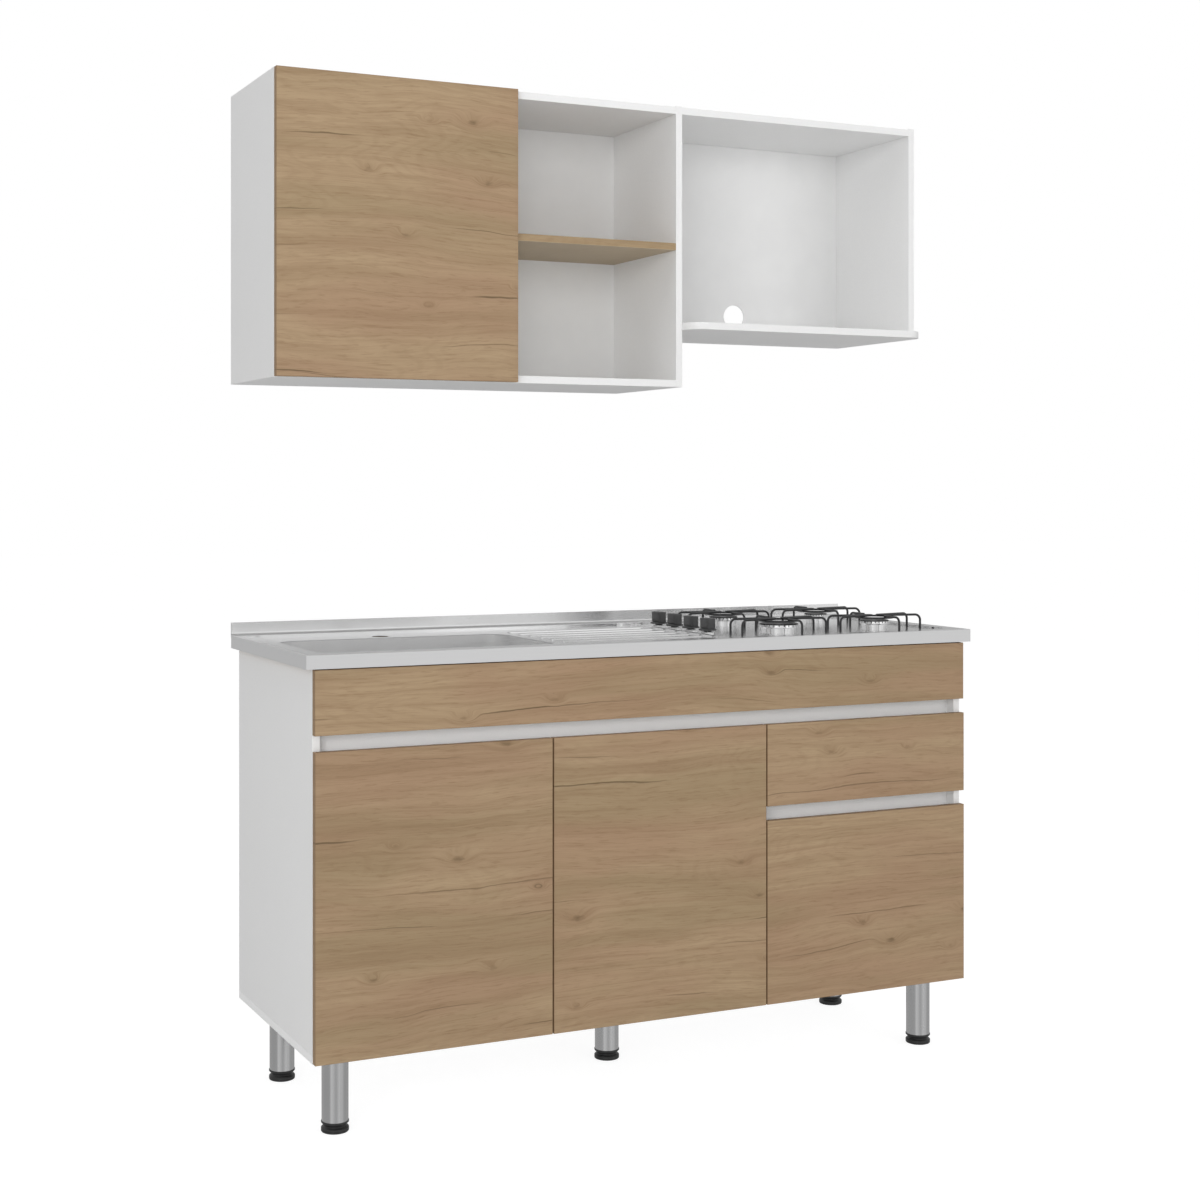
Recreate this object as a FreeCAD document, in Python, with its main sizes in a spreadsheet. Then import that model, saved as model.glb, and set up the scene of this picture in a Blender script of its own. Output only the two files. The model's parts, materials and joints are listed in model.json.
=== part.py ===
import FreeCAD, Part
import math
import os

import Sketcher

# Fitted kitchen: a base unit with a pressed sink and hob worktop on five legs, and a wall unit
# with a cupboard, an open niche and a microwave niche.
# Frame: millimetres, +X to the right, +Y to the wall, +Z up, origin on the floor under the middle
# of the worktop.

doc = FreeCAD.newDocument("fitted_kitchen")
sheet = doc.addObject("Spreadsheet::Sheet", "Sizes")


# A size that knows its number and its formula

class Size:
    """A length with both its number and the sheet formula that gives it."""

    def __init__(self, value, text):
        self.value = float(value)
        self.text = text

    def __add__(self, other):
        other = sized(other)
        return Size(self.value + other.value, f"({self.text} + {other.text})")

    def __sub__(self, other):
        other = sized(other)
        return Size(self.value - other.value, f"({self.text} - {other.text})")

    def __mul__(self, factor):
        factor = sized(factor)
        return Size(self.value * factor.value, f"({self.text} * {factor.text})")

    def __truediv__(self, factor):
        factor = sized(factor)
        return Size(self.value / factor.value, f"({self.text} / {factor.text})")

    def __radd__(self, other):
        return sized(other) + self

    def __rsub__(self, other):
        return sized(other) - self

    def __rmul__(self, factor):
        return sized(factor) * self

    def __neg__(self):
        return Size(-self.value, f"(0 - {self.text})")


def sized(entry):
    """Any number as a Size."""
    if isinstance(entry, Size):
        return entry
    return Size(entry, f"{float(entry)}")


# Driving dimensions in millimetres, and a few counts

driving_sizes = {
    # Boards, fronts and gaps
    "board_thickness": 15,
    "back_board_thickness": 3,
    "front_thickness": 15,
    "front_to_carcass_gap": 2,
    "gap_between_fronts": 3,
    "front_edge_inset": 0.5,
    "front_setback_from_worktop": 1,
    "loose_fit_gap": 0.3,
    "shelf_side_gap": 0.5,
    # Base unit
    "kitchen_width": 1500,
    "worktop_depth": 520,
    "worktop_edge_height": 27,
    "upstand_height": 26,
    "upstand_cove_radius": 5,
    "sheet_steel_thickness": 1.5,
    "fold_radius": 2.5,
    "top_fold_radius": 2,
    "carcass_inset_from_worktop_end": 17.5,
    "carcass_height": 731,
    "leg_height": 150,
    "fascia_height": 121.5,
    "gap_under_worktop": 2,
    "finger_channel_gap": 30,
    "finger_channel_lap": 12,
    "finger_channel_depth": 26,
    "finger_channel_wall": 1.5,
    "drawer_front_height": 168.5,
    "drawer_stack_front_width": 495.8,
    "stretcher_height": 80,
    "door_bottom_gap": 1,
    # Legs
    "leg_inset_from_side": 64.5,
    "leg_inset_from_carcass_front": 62,
    "leg_inset_from_back": 94,
    "leg_tube_radius": 25.4,
    "leg_tube_wall": 1.5,
    "foot_radius": 26.5,
    "foot_height": 21,
    "foot_edge_chamfer": 2,
    "foot_base_height": 8.5,
    "foot_waist_slope": 3,
    "foot_waist_depth": 4.5,
    "foot_waist_height": 1.5,
    "foot_collar_taper": 4.5,
    "foot_spigot_length": 25,
    "leg_plate_size": 72,
    "leg_plate_thickness": 3,
    "leg_socket_height": 18,
    # Sink
    "worktop_rim_width": 36,
    "pressing_depth": 4,
    "pressing_corner_radius": 22,
    "hob_land_width": 10,
    "bowl_from_pressing_end": 12,
    "bowl_length": 496,
    "bowl_front_from_worktop_front": 60,
    "bowl_back_from_wall": 154,
    "bowl_depth": 150,
    "bowl_corner_radius": 45,
    "bowl_bottom_radius": 22,
    "bowl_flange_width": 12,
    "tap_hole_left_of_bowl_middle": 9,
    "tap_hole_behind_bowl": 36,
    "tap_hole_radius": 17.5,
    "core_tap_opening_radius": 28,
    "waste_body_radius": 40,
    "waste_flange_radius": 56,
    "waste_body_length": 48,
    "waste_wall": 2,
    "waste_outlet_radius": 20,
    "waste_outlet_length": 40,
    "waste_nut_height": 14,
    "waste_nut_rim": 14,
    "waste_nut_hub_rim": 8.4,
    "waste_nut_flange_height": 4.2,
    "waste_grid_screw_radius": 4,
    "waste_grid_hole_count": 10,
    "waste_grid_hole_radius": 5,
    "waste_grid_ring_radius": 23.4,
    "drainer_from_bowl": 22,
    "drainer_from_hob_land": 13.5,
    "drainer_ridge_count": 7,
    "drainer_side_margin": 15,
    "drainer_ridge_width": 16,
    "drainer_ridge_height": 2.6,
    "drainer_ridge_end_flat": 0.1,
    "worktop_core_clearance": 1,
    # Hob
    "hob_right_margin": 15,
    "hob_column_gap": 32,
    "hob_front_margin": 3.5,
    "hob_back_margin": 15.5,
    "hob_row_gap": 43,
    "rapid_burner_radius": 42,
    "standard_burner_radius": 32,
    "simmer_burner_radius": 26,
    "burner_cup_height": 18,
    "burner_neck_radius": 11,
    "burner_neck_length": 10,
    "burner_cup_wall": 3,
    "burner_cup_foot_inset": 4,
    "burner_cup_shoulder_inset": 1.5,
    "burner_cup_shoulder_height": 2,
    "flame_slot_count": 24,
    "flame_slot_width": 2,
    "flame_slot_height": 4,
    "flame_slot_sill": 1,
    "burner_cap_thickness": 3,
    "burner_cap_overhang": 0.5,
    "burner_cap_rim_height": 1.2,
    "burner_cap_edge_slope": 1.2,
    "burner_cap_crown_height": 0.6,
    "burner_cap_crown_inset": 12,
    "pan_support_seat_gap": 0.05,
    "pan_support_side_reach": 104.5,
    "pan_support_leg_gap": 49.5,
    "pan_support_tip_inset": 8,
    "pan_support_tip_bend_radius": 5,
    "pan_support_ring_radius": 42,
    "pan_support_ring_wire_radius": 2.2,
    "pan_support_ring_drop": 4,
    "pan_support_wire_radius": 2.5,
    "pan_support_height": 33,
    "pan_support_bend_radius": 12,
    "knob_to_pan_support_gap": 39,
    "knob_row_inset": 19.5,
    "knob_pitch": 73,
    "knob_flange_radius": 19,
    "knob_flange_height": 4,
    "knob_flange_chamfer": 1.5,
    "knob_grip_width": 17,
    "knob_grip_depth": 36,
    "knob_height": 29,
    "knob_corner_radius": 4,
    "knob_bezel_radius": 14,
    "knob_bezel_height": 6,
    "knob_bezel_chamfer": 2,
    "knob_bezel_bore_gap": 0.55,
    "tap_stem_radius": 4,
    "stem_running_gap": 0.05,
    "stem_gap_in_deck": 2,
    "stem_end_gap": 1,
    "gas_tap_body_size": 24,
    "gas_tap_body_height": 46,
    "gas_tap_bore_depth": 20,
    "gas_manifold_radius": 8,
    "gas_pipe_radius": 4,
    "gas_pipe_bend_radius": 12,
    "gas_pipe_turn_radius": 36,
    "gas_pipe_stub_length": 20,
    "gas_pipe_level_step": 10,
    "hob_service_clearance": 8,
    # Drawer and hinges
    "drawer_board_thickness": 12,
    "drawer_bottom_thickness": 6,
    "drawer_back_room": 71,
    "drawer_top_room": 24.5,
    "drawer_box_above_channel": 10,
    "drawer_bottom_lift": 8,
    "runner_space": 13,
    "runner_height": 36,
    "runner_wall": 1.2,
    "runner_lip": 9,
    "runner_setback": 6,
    "hinge_cup_radius": 17.5,
    "hinge_cup_cover": 2,
    "hinge_cup_wall": 0.8,
    "hinge_cup_edge_margin": 2,
    "hinge_flange_thickness": 1,
    "hinge_flange_height": 52,
    "hinge_flange_width": 28,
    "hinge_pin_from_cup_wall": 2.7,
    "hinge_pin_above_cup_bottom": 3.1,
    "hinge_pin_radius": 1.2,
    "hinge_eye_radius": 2,
    "hinge_eye_gap": 0.05,
    "hinge_arm_height": 8,
    "hinge_arm_thickness": 2,
    "hinge_plate_thickness": 2.5,
    "hinge_arm_length": 46,
    "hinge_plate_height": 32,
    "hinge_plate_setback": 12,
    "hinge_from_door_end": 90,
    # Wall unit
    "wall_unit_bottom_height": 1430,
    "wall_unit_height": 600,
    "wall_unit_depth": 312,
    "top_panel_drop": 2,
    "tall_part_width": 900,
    "wall_door_width": 509,
    "wall_door_lap_on_partition": 8,
    "hanging_space": 14,
    "hanging_rail_height": 60,
    "hanging_rail_drop": 20,
    "wall_screw_hole_radius": 3.5,
    "wall_screw_hole_inset": 60,
    "niche_shelf_height": 292,
    "cupboard_shelf_height": 280,
    "cupboard_shelf_setback": 18,
    "shelf_pin_radius": 2.5,
    "shelf_pin_length": 12,
    "shelf_pin_inset": 40,
    "microwave_shelf_height": 122,
    "microwave_shelf_depth": 356,
    "microwave_shelf_corner_radius": 40,
    "cable_hole_right_of_niche_middle": 7.5,
    "cable_hole_above_shelf": 49,
    "cable_hole_radius": 27,
}
for row, (alias, number) in enumerate(driving_sizes.items(), 1):
    sheet.set(f"A{row}", alias)
    sheet.set(f"B{row}", str(number))
    sheet.setAlias(f"B{row}", alias)
doc.recompute()


def from_sheet(alias):
    """One driving dimension, read back from its cell."""
    return Size(sheet.get(alias), f"Sizes.{alias}")


board = from_sheet("board_thickness")
back_board = from_sheet("back_board_thickness")
front_board = from_sheet("front_thickness")
front_gap = from_sheet("front_to_carcass_gap")
front_reveal = from_sheet("gap_between_fronts")
front_inset = from_sheet("front_edge_inset")
front_setback = from_sheet("front_setback_from_worktop")
fit_gap = from_sheet("loose_fit_gap")
seat_gap = from_sheet("shelf_side_gap")

kitchen_width = from_sheet("kitchen_width")
worktop_depth = from_sheet("worktop_depth")
worktop_edge = from_sheet("worktop_edge_height")
upstand_height = from_sheet("upstand_height")
upstand_cove = from_sheet("upstand_cove_radius")
sheet_steel = from_sheet("sheet_steel_thickness")
fold_radius = from_sheet("fold_radius")
top_fold_radius = from_sheet("top_fold_radius")
carcass_inset = from_sheet("carcass_inset_from_worktop_end")
carcass_height = from_sheet("carcass_height")
leg_height = from_sheet("leg_height")
fascia_height = from_sheet("fascia_height")
under_top_gap = from_sheet("gap_under_worktop")
finger_gap = from_sheet("finger_channel_gap")
channel_lap = from_sheet("finger_channel_lap")
channel_depth = from_sheet("finger_channel_depth")
channel_wall = from_sheet("finger_channel_wall")
drawer_front_height = from_sheet("drawer_front_height")
stack_front_width = from_sheet("drawer_stack_front_width")
stretcher_height = from_sheet("stretcher_height")
door_lift = from_sheet("door_bottom_gap")

leg_inset_side = from_sheet("leg_inset_from_side")
leg_inset_front = from_sheet("leg_inset_from_carcass_front")
leg_inset_back = from_sheet("leg_inset_from_back")
leg_radius = from_sheet("leg_tube_radius")
leg_wall = from_sheet("leg_tube_wall")
foot_radius = from_sheet("foot_radius")
foot_height = from_sheet("foot_height")
foot_chamfer = from_sheet("foot_edge_chamfer")
foot_base = from_sheet("foot_base_height")
foot_slope = from_sheet("foot_waist_slope")
foot_waist = from_sheet("foot_waist_depth")
foot_waist_height = from_sheet("foot_waist_height")
foot_collar_taper = from_sheet("foot_collar_taper")
foot_spigot = from_sheet("foot_spigot_length")
leg_plate_size = from_sheet("leg_plate_size")
leg_plate_thickness = from_sheet("leg_plate_thickness")
leg_socket = from_sheet("leg_socket_height")

rim_width = from_sheet("worktop_rim_width")
press_depth = from_sheet("pressing_depth")
press_radius = from_sheet("pressing_corner_radius")
land_width = from_sheet("hob_land_width")
bowl_from_pressing = from_sheet("bowl_from_pressing_end")
bowl_length = from_sheet("bowl_length")
bowl_front = from_sheet("bowl_front_from_worktop_front")
bowl_back = from_sheet("bowl_back_from_wall")
bowl_depth = from_sheet("bowl_depth")
bowl_corner = from_sheet("bowl_corner_radius")
bowl_foot_radius = from_sheet("bowl_bottom_radius")
bowl_flange = from_sheet("bowl_flange_width")
tap_hole_left = from_sheet("tap_hole_left_of_bowl_middle")
tap_hole_behind = from_sheet("tap_hole_behind_bowl")
tap_hole_radius = from_sheet("tap_hole_radius")
core_tap_radius = from_sheet("core_tap_opening_radius")
waste_radius = from_sheet("waste_body_radius")
waste_flange = from_sheet("waste_flange_radius")
waste_length = from_sheet("waste_body_length")
waste_wall = from_sheet("waste_wall")
outlet_radius = from_sheet("waste_outlet_radius")
outlet_length = from_sheet("waste_outlet_length")
waste_nut_height = from_sheet("waste_nut_height")
waste_nut_rim = from_sheet("waste_nut_rim")
waste_nut_hub = from_sheet("waste_nut_hub_rim")
waste_nut_flange = from_sheet("waste_nut_flange_height")
grid_screw_radius = from_sheet("waste_grid_screw_radius")
grid_holes = from_sheet("waste_grid_hole_count")
grid_hole_radius = from_sheet("waste_grid_hole_radius")
grid_ring_radius = from_sheet("waste_grid_ring_radius")
drainer_from_bowl = from_sheet("drainer_from_bowl")
drainer_from_land = from_sheet("drainer_from_hob_land")
ridge_count = from_sheet("drainer_ridge_count")
drainer_margin = from_sheet("drainer_side_margin")
ridge_width = from_sheet("drainer_ridge_width")
ridge_height = from_sheet("drainer_ridge_height")
ridge_end_flat = from_sheet("drainer_ridge_end_flat")
core_clearance = from_sheet("worktop_core_clearance")

hob_right_margin = from_sheet("hob_right_margin")
hob_column_gap = from_sheet("hob_column_gap")
hob_front_margin = from_sheet("hob_front_margin")
hob_back_margin = from_sheet("hob_back_margin")
hob_row_gap = from_sheet("hob_row_gap")
rapid_radius = from_sheet("rapid_burner_radius")
standard_radius = from_sheet("standard_burner_radius")
simmer_radius = from_sheet("simmer_burner_radius")
cup_height = from_sheet("burner_cup_height")
cup_neck_radius = from_sheet("burner_neck_radius")
cup_neck_length = from_sheet("burner_neck_length")
cup_wall = from_sheet("burner_cup_wall")
cup_foot_inset = from_sheet("burner_cup_foot_inset")
cup_shoulder_inset = from_sheet("burner_cup_shoulder_inset")
cup_shoulder_height = from_sheet("burner_cup_shoulder_height")
flame_slots = from_sheet("flame_slot_count")
flame_slot_width = from_sheet("flame_slot_width")
flame_slot_height = from_sheet("flame_slot_height")
flame_slot_sill = from_sheet("flame_slot_sill")
cap_thickness = from_sheet("burner_cap_thickness")
cap_overhang = from_sheet("burner_cap_overhang")
cap_rim = from_sheet("burner_cap_rim_height")
cap_slope = from_sheet("burner_cap_edge_slope")
cap_crown = from_sheet("burner_cap_crown_height")
cap_crown_inset = from_sheet("burner_cap_crown_inset")
support_seat = from_sheet("pan_support_seat_gap")
support_side_reach = from_sheet("pan_support_side_reach")
support_leg_gap = from_sheet("pan_support_leg_gap")
support_tip = from_sheet("pan_support_tip_inset")
support_tip_bend = from_sheet("pan_support_tip_bend_radius")
support_ring = from_sheet("pan_support_ring_radius")
support_ring_wire = from_sheet("pan_support_ring_wire_radius")
support_ring_drop = from_sheet("pan_support_ring_drop")
support_wire = from_sheet("pan_support_wire_radius")
support_height = from_sheet("pan_support_height")
support_bend = from_sheet("pan_support_bend_radius")
knob_gap = from_sheet("knob_to_pan_support_gap")
knob_inset = from_sheet("knob_row_inset")
knob_pitch = from_sheet("knob_pitch")
knob_radius = from_sheet("knob_flange_radius")
knob_flange = from_sheet("knob_flange_height")
knob_flange_chamfer = from_sheet("knob_flange_chamfer")
knob_grip_width = from_sheet("knob_grip_width")
knob_grip_depth = from_sheet("knob_grip_depth")
knob_height = from_sheet("knob_height")
knob_corner = from_sheet("knob_corner_radius")
bezel_radius = from_sheet("knob_bezel_radius")
bezel_height = from_sheet("knob_bezel_height")
bezel_chamfer = from_sheet("knob_bezel_chamfer")
bezel_bore_gap = from_sheet("knob_bezel_bore_gap")
stem_radius = from_sheet("tap_stem_radius")
stem_hole_gap = from_sheet("stem_running_gap")
stem_deck_gap = from_sheet("stem_gap_in_deck")
stem_end_gap = from_sheet("stem_end_gap")
tap_body_size = from_sheet("gas_tap_body_size")
tap_body_height = from_sheet("gas_tap_body_height")
tap_bore_depth = from_sheet("gas_tap_bore_depth")
manifold_radius = from_sheet("gas_manifold_radius")
pipe_radius = from_sheet("gas_pipe_radius")
pipe_bend = from_sheet("gas_pipe_bend_radius")
pipe_turn = from_sheet("gas_pipe_turn_radius")
pipe_stub = from_sheet("gas_pipe_stub_length")
pipe_level_step = from_sheet("gas_pipe_level_step")
service_room = from_sheet("hob_service_clearance")

drawer_board = from_sheet("drawer_board_thickness")
drawer_bottom_board = from_sheet("drawer_bottom_thickness")
drawer_back_room = from_sheet("drawer_back_room")
drawer_top_room = from_sheet("drawer_top_room")
drawer_lift = from_sheet("drawer_box_above_channel")
drawer_groove_lift = from_sheet("drawer_bottom_lift")
runner_space = from_sheet("runner_space")
runner_height = from_sheet("runner_height")
runner_wall = from_sheet("runner_wall")
runner_lip = from_sheet("runner_lip")
runner_setback = from_sheet("runner_setback")
hinge_cup_radius = from_sheet("hinge_cup_radius")
hinge_cup_cover = from_sheet("hinge_cup_cover")
hinge_cup_wall = from_sheet("hinge_cup_wall")
hinge_cup_margin = from_sheet("hinge_cup_edge_margin")
hinge_flange = from_sheet("hinge_flange_thickness")
hinge_flange_height = from_sheet("hinge_flange_height")
hinge_flange_width = from_sheet("hinge_flange_width")
hinge_pin_inset = from_sheet("hinge_pin_from_cup_wall")
hinge_pin_lift = from_sheet("hinge_pin_above_cup_bottom")
hinge_pin_radius = from_sheet("hinge_pin_radius")
hinge_eye_radius = from_sheet("hinge_eye_radius")
hinge_eye_gap = from_sheet("hinge_eye_gap")
hinge_arm_height = from_sheet("hinge_arm_height")
hinge_arm_strip = from_sheet("hinge_arm_thickness")
hinge_plate_thickness = from_sheet("hinge_plate_thickness")
hinge_arm_length = from_sheet("hinge_arm_length")
hinge_plate_height = from_sheet("hinge_plate_height")
hinge_plate_start = from_sheet("hinge_plate_setback")
hinge_from_end = from_sheet("hinge_from_door_end")

wall_unit_bottom = from_sheet("wall_unit_bottom_height")
wall_unit_height = from_sheet("wall_unit_height")
wall_unit_depth = from_sheet("wall_unit_depth")
top_drop = from_sheet("top_panel_drop")
tall_part_width = from_sheet("tall_part_width")
wall_door_width = from_sheet("wall_door_width")
wall_door_lap = from_sheet("wall_door_lap_on_partition")
hanging_space = from_sheet("hanging_space")
hanging_rail_height = from_sheet("hanging_rail_height")
hanging_rail_drop = from_sheet("hanging_rail_drop")
screw_hole_radius = from_sheet("wall_screw_hole_radius")
screw_hole_inset = from_sheet("wall_screw_hole_inset")
niche_shelf_lift = from_sheet("niche_shelf_height")
cupboard_shelf_lift = from_sheet("cupboard_shelf_height")
shelf_setback = from_sheet("cupboard_shelf_setback")
shelf_pin_radius = from_sheet("shelf_pin_radius")
shelf_pin_length = from_sheet("shelf_pin_length")
shelf_pin_inset = from_sheet("shelf_pin_inset")
microwave_shelf_lift = from_sheet("microwave_shelf_height")
microwave_shelf_depth = from_sheet("microwave_shelf_depth")
microwave_shelf_corner = from_sheet("microwave_shelf_corner_radius")
cable_hole_offset = from_sheet("cable_hole_right_of_niche_middle")
cable_hole_lift = from_sheet("cable_hole_above_shelf")
cable_hole_radius = from_sheet("cable_hole_radius")


# Shape helpers

def bind(piece, name, size):
    """Bind one property to its formula."""
    piece.setExpression(name, sized(size).text)


def place(piece, spot):
    """Bind the place of a piece."""
    for axis, size in zip("xyz", spot):
        bind(piece, f"Placement.Base.{axis}", size)


def box(label, x, y, z):
    """A square-edged block between the given low and high sizes along X, Y and Z."""
    piece = doc.addObject("Part::Box", label)
    for name, (low, high) in zip(("Length", "Width", "Height"), (x, y, z)):
        bind(piece, name, sized(high) - low)
    place(piece, (x[0], y[0], z[0]))
    return piece


AXIS_X = FreeCAD.Vector(1, 0, 0)
AXIS_Z = FreeCAD.Vector(0, 0, 1)
AXIS_TURNS = {
    "x": FreeCAD.Rotation(FreeCAD.Vector(0, 1, 0), 90),
    "y": FreeCAD.Rotation(FreeCAD.Vector(1, 0, 0), -90),
    "z": FreeCAD.Rotation(),
}


def rod(label, start, radius, length, axis="z"):
    """A round bar from its start point along one axis."""
    piece = doc.addObject("Part::Cylinder", label)
    piece.Placement = FreeCAD.Placement(FreeCAD.Vector(), AXIS_TURNS[axis])
    bind(piece, "Radius", radius)
    bind(piece, "Height", length)
    place(piece, start)
    return piece


def group(label, pieces):
    """Separate solids kept together as one sub-part."""
    piece = doc.addObject("Part::Compound", label)
    piece.Links = list(pieces)
    return piece


def cut(label, base, *tools):
    """The base less every tool."""
    piece = doc.addObject("Part::Cut", label)
    piece.Base = base
    piece.Tool = tools[0] if len(tools) == 1 else group(f"{label}_tools", tools)
    return piece


def fuse(label, *pieces):
    """Several shapes joined into one solid."""
    piece = doc.addObject("Part::MultiFuse", label)
    piece.Shapes = list(pieces)
    return piece


def common(label, *pieces):
    """What several shapes have in common."""
    piece = doc.addObject("Part::MultiCommon", label)
    piece.Shapes = list(pieces)
    return piece


def copies(label, master, spots, turn=0):
    """Links to one master shape at several places."""
    links = []
    for number, spot in enumerate(spots, 1):
        link = doc.addObject("App::Link", f"{label}_{number}")
        link.LinkedObject = master
        link.Placement = FreeCAD.Placement(FreeCAD.Vector(), FreeCAD.Rotation(AXIS_Z, turn))
        place(link, spot)
        links.append(link)
    return links


def outline(body, name, plane_role, corners, lift=0):
    """A closed sketch whose corners are held by distances bound to the sheet."""
    sketch = body.newObject("Sketcher::SketchObject", name)
    plane = [item for item in body.Origin.OriginFeatures if item.Role == plane_role][0]
    sketch.AttachmentSupport = [(plane, "")]
    sketch.MapMode = "FlatFace"
    bind(sketch, "AttachmentOffset.Base.z", lift)
    corners = [(sized(across), sized(along)) for across, along in corners]
    points = [FreeCAD.Vector(across.value, along.value, 0) for across, along in corners]
    for number, point in enumerate(points):
        following = points[(number + 1) % len(points)]
        sketch.addGeometry(Part.LineSegment(point, following), False)
    for number in range(len(points)):
        following = (number + 1) % len(points)
        sketch.addConstraint(Sketcher.Constraint("Coincident", number, 2, following, 1))
    for number, corner in enumerate(corners):
        for kind, size in zip(("DistanceX", "DistanceY"), corner):
            rule = Sketcher.Constraint(kind, -1, 1, number, 1, size.value)
            bind(sketch, f"Constraints[{sketch.addConstraint(rule)}]", size)
    return sketch


def turned(label, corners):
    """A turned piece: a profile of radius and height corners swept round the Z axis."""
    body = doc.addObject("PartDesign::Body", label)
    turn = body.newObject("PartDesign::Revolution", f"{label}_turn")
    turn.Profile = outline(body, f"{label}_profile", "XZ_Plane", corners)
    turn.ReferenceAxis = (turn.Profile[0], ["V_Axis"])
    turn.Angle = 360
    body.Tip = turn
    return body


def padded(label, corners, height, lift=0):
    """A flat outline in X and Y raised to a height along Z."""
    body = doc.addObject("PartDesign::Body", label)
    pad = body.newObject("PartDesign::Pad", f"{label}_pad")
    pad.Profile = outline(body, f"{label}_outline", "XY_Plane", corners, lift)
    bind(pad, "Length", height)
    body.Tip = pad
    return body


def plain_block(x, y, z):
    """A plain shape: a block between the given low and high sizes along X, Y and Z."""
    low = FreeCAD.Vector(x[0].value, y[0].value, z[0].value)
    high = FreeCAD.Vector(x[1].value, y[1].value, z[1].value)
    size = high - low
    return Part.makeBox(size.x, size.y, size.z, low)


def rounded_block(x, y, z, radius):
    """A plain shape: a block with rounded upright corners."""
    block = plain_block(x, y, z)
    upright = [edge for edge in block.Edges if edge.BoundBox.ZLength > block.BoundBox.ZLength / 2]
    return block.makeFillet(radius.value, upright)


LEVEL_TOLERANCE = 0.01


def level_edges(shape, height):
    """The edges of a shape that lie flat at one height."""
    spans = [(edge, edge.BoundBox.ZMin, edge.BoundBox.ZMax) for edge in shape.Edges]
    return [edge for edge, low, high in spans
            if abs(low - height) + abs(high - height) < LEVEL_TOLERANCE]


def feature(label, shape):
    """A sub-part whose shape is worked out here from the sheet."""
    piece = doc.addObject("Part::Feature", label)
    piece.Shape = shape
    return piece


nodes = {}


def node(label, piece):
    """Name a finished sub-part."""
    piece.Label = label
    nodes[label] = piece
    return piece


# Shared levels and lines

wall_y = worktop_depth / 2
worktop_front = -wall_y
front_face = worktop_front + front_setback
carcass_front = front_face + front_board + front_gap
half_top = kitchen_width / 2
carcass_half = half_top - carcass_inset
front_half = carcass_half - front_inset
carcass_bottom = leg_height
carcass_top = carcass_bottom + carcass_height
deck_top = carcass_top + worktop_edge
press_floor = deck_top - press_depth
deck_under = press_floor - sheet_steel
bottom_board_top = carcass_bottom + board
inner_left = board - carcass_half
inner_right = carcass_half - board
half_reveal = front_reveal / 2
stack_left = front_half - stack_front_width
stack_split = stack_left - half_reveal
door_split = (stack_split - half_reveal - front_half) / 2
partition_left = stack_split - board / 2
partition_right = stack_split + board / 2
base_back = wall_y - back_board
fascia_bottom = carcass_top - under_top_gap - fascia_height
doors_top = fascia_bottom - finger_gap
drawer_front_bottom = doors_top - drawer_front_height
right_door_top = drawer_front_bottom - finger_gap
doors_bottom = carcass_bottom + door_lift
carcass_y = (carcass_front, wall_y)

# Base unit carcass

node("base_bottom_panel", box("bottom_board", (-carcass_half, carcass_half), carcass_y,
                              (carcass_bottom, bottom_board_top)))
side_z = (bottom_board_top, carcass_top)
node("base_left_side", box("left_board", (-carcass_half, inner_left), carcass_y, side_z))
node("base_right_side", box("right_board", (inner_right, carcass_half), carcass_y, side_z))
upper_channel_z = (doors_top - channel_lap, fascia_bottom + channel_lap)
lower_channel_z = (right_door_top - channel_lap, drawer_front_bottom + channel_lap)
channel_back = carcass_front + channel_depth
partition_board = box("partition_board", (partition_left, partition_right),
                      (carcass_front, base_back), side_z)
partition_notch = box("partition_notch", (partition_left - board, partition_right + board),
                      (carcass_front - board, channel_back), upper_channel_z)
node("base_back_panel", box("back_sheet", (inner_left, inner_right), (base_back, wall_y), side_z))


def finger_channel(label, x, z):
    """A white channel, open to the front, that leaves room for fingers behind the front edges."""
    block = box(f"{label}_block", x, (carcass_front, channel_back), z)
    hollow = box(f"{label}_hollow", x, (carcass_front, channel_back - channel_wall),
                 (z[0] + channel_wall, z[1] - channel_wall))
    return cut(label, block, hollow)


node("finger_channels", group("channels", [
    finger_channel("upper_channel", (inner_left, inner_right), upper_channel_z),
    finger_channel("lower_channel", (partition_right, inner_right), lower_channel_z),
]))

stretchers = []
stretcher_z = (carcass_top - stretcher_height, carcass_top)
for bay, bay_x in (("left", (inner_left, partition_left)), ("right", (partition_right, inner_right))):
    for row, row_y in (("front", (carcass_front, carcass_front + board)),
                       ("back", (base_back - board, base_back))):
        stretchers.append(box(f"stretcher_{bay}_{row}", bay_x, row_y, stretcher_z))
node("top_stretchers", group("stretchers", stretchers))

node("fascia_panel", box("fascia_board", (-front_half, front_half),
                         (carcass_front - front_board, carcass_front),
                         (fascia_bottom, fascia_bottom + fascia_height)))

# Legs

leg_x = carcass_half - leg_inset_side
leg_front_y = carcass_front + leg_inset_front
leg_back_y = wall_y - leg_inset_back
leg_middle_y = (carcass_front + wall_y) / 2
leg_spots = [(-leg_x, leg_front_y), (leg_x, leg_front_y), (-leg_x, leg_back_y), (leg_x, leg_back_y),
             (sized(0), leg_middle_y)]
leg_bore = leg_radius - leg_wall
plate_under = carcass_bottom - leg_plate_thickness
socket_radius = leg_bore - fit_gap


def at_legs(label, master):
    """One copy of a piece at every leg."""
    return copies(label, master, [(x, y, 0) for x, y in leg_spots])


plate_half = leg_plate_size / 2
leg_plate = box("leg_plate", (-plate_half, plate_half), (-plate_half, plate_half),
                (plate_under, carcass_bottom))
leg_socket_rod = rod("leg_socket_rod", (0, 0, plate_under - leg_socket), socket_radius,
                     leg_socket + leg_plate_thickness)
leg_plate_master = fuse("leg_plate_master", leg_plate, leg_socket_rod)
node("leg_mounting_plates", group("leg_plates", at_legs("leg_plate_copy", leg_plate_master)))

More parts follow.
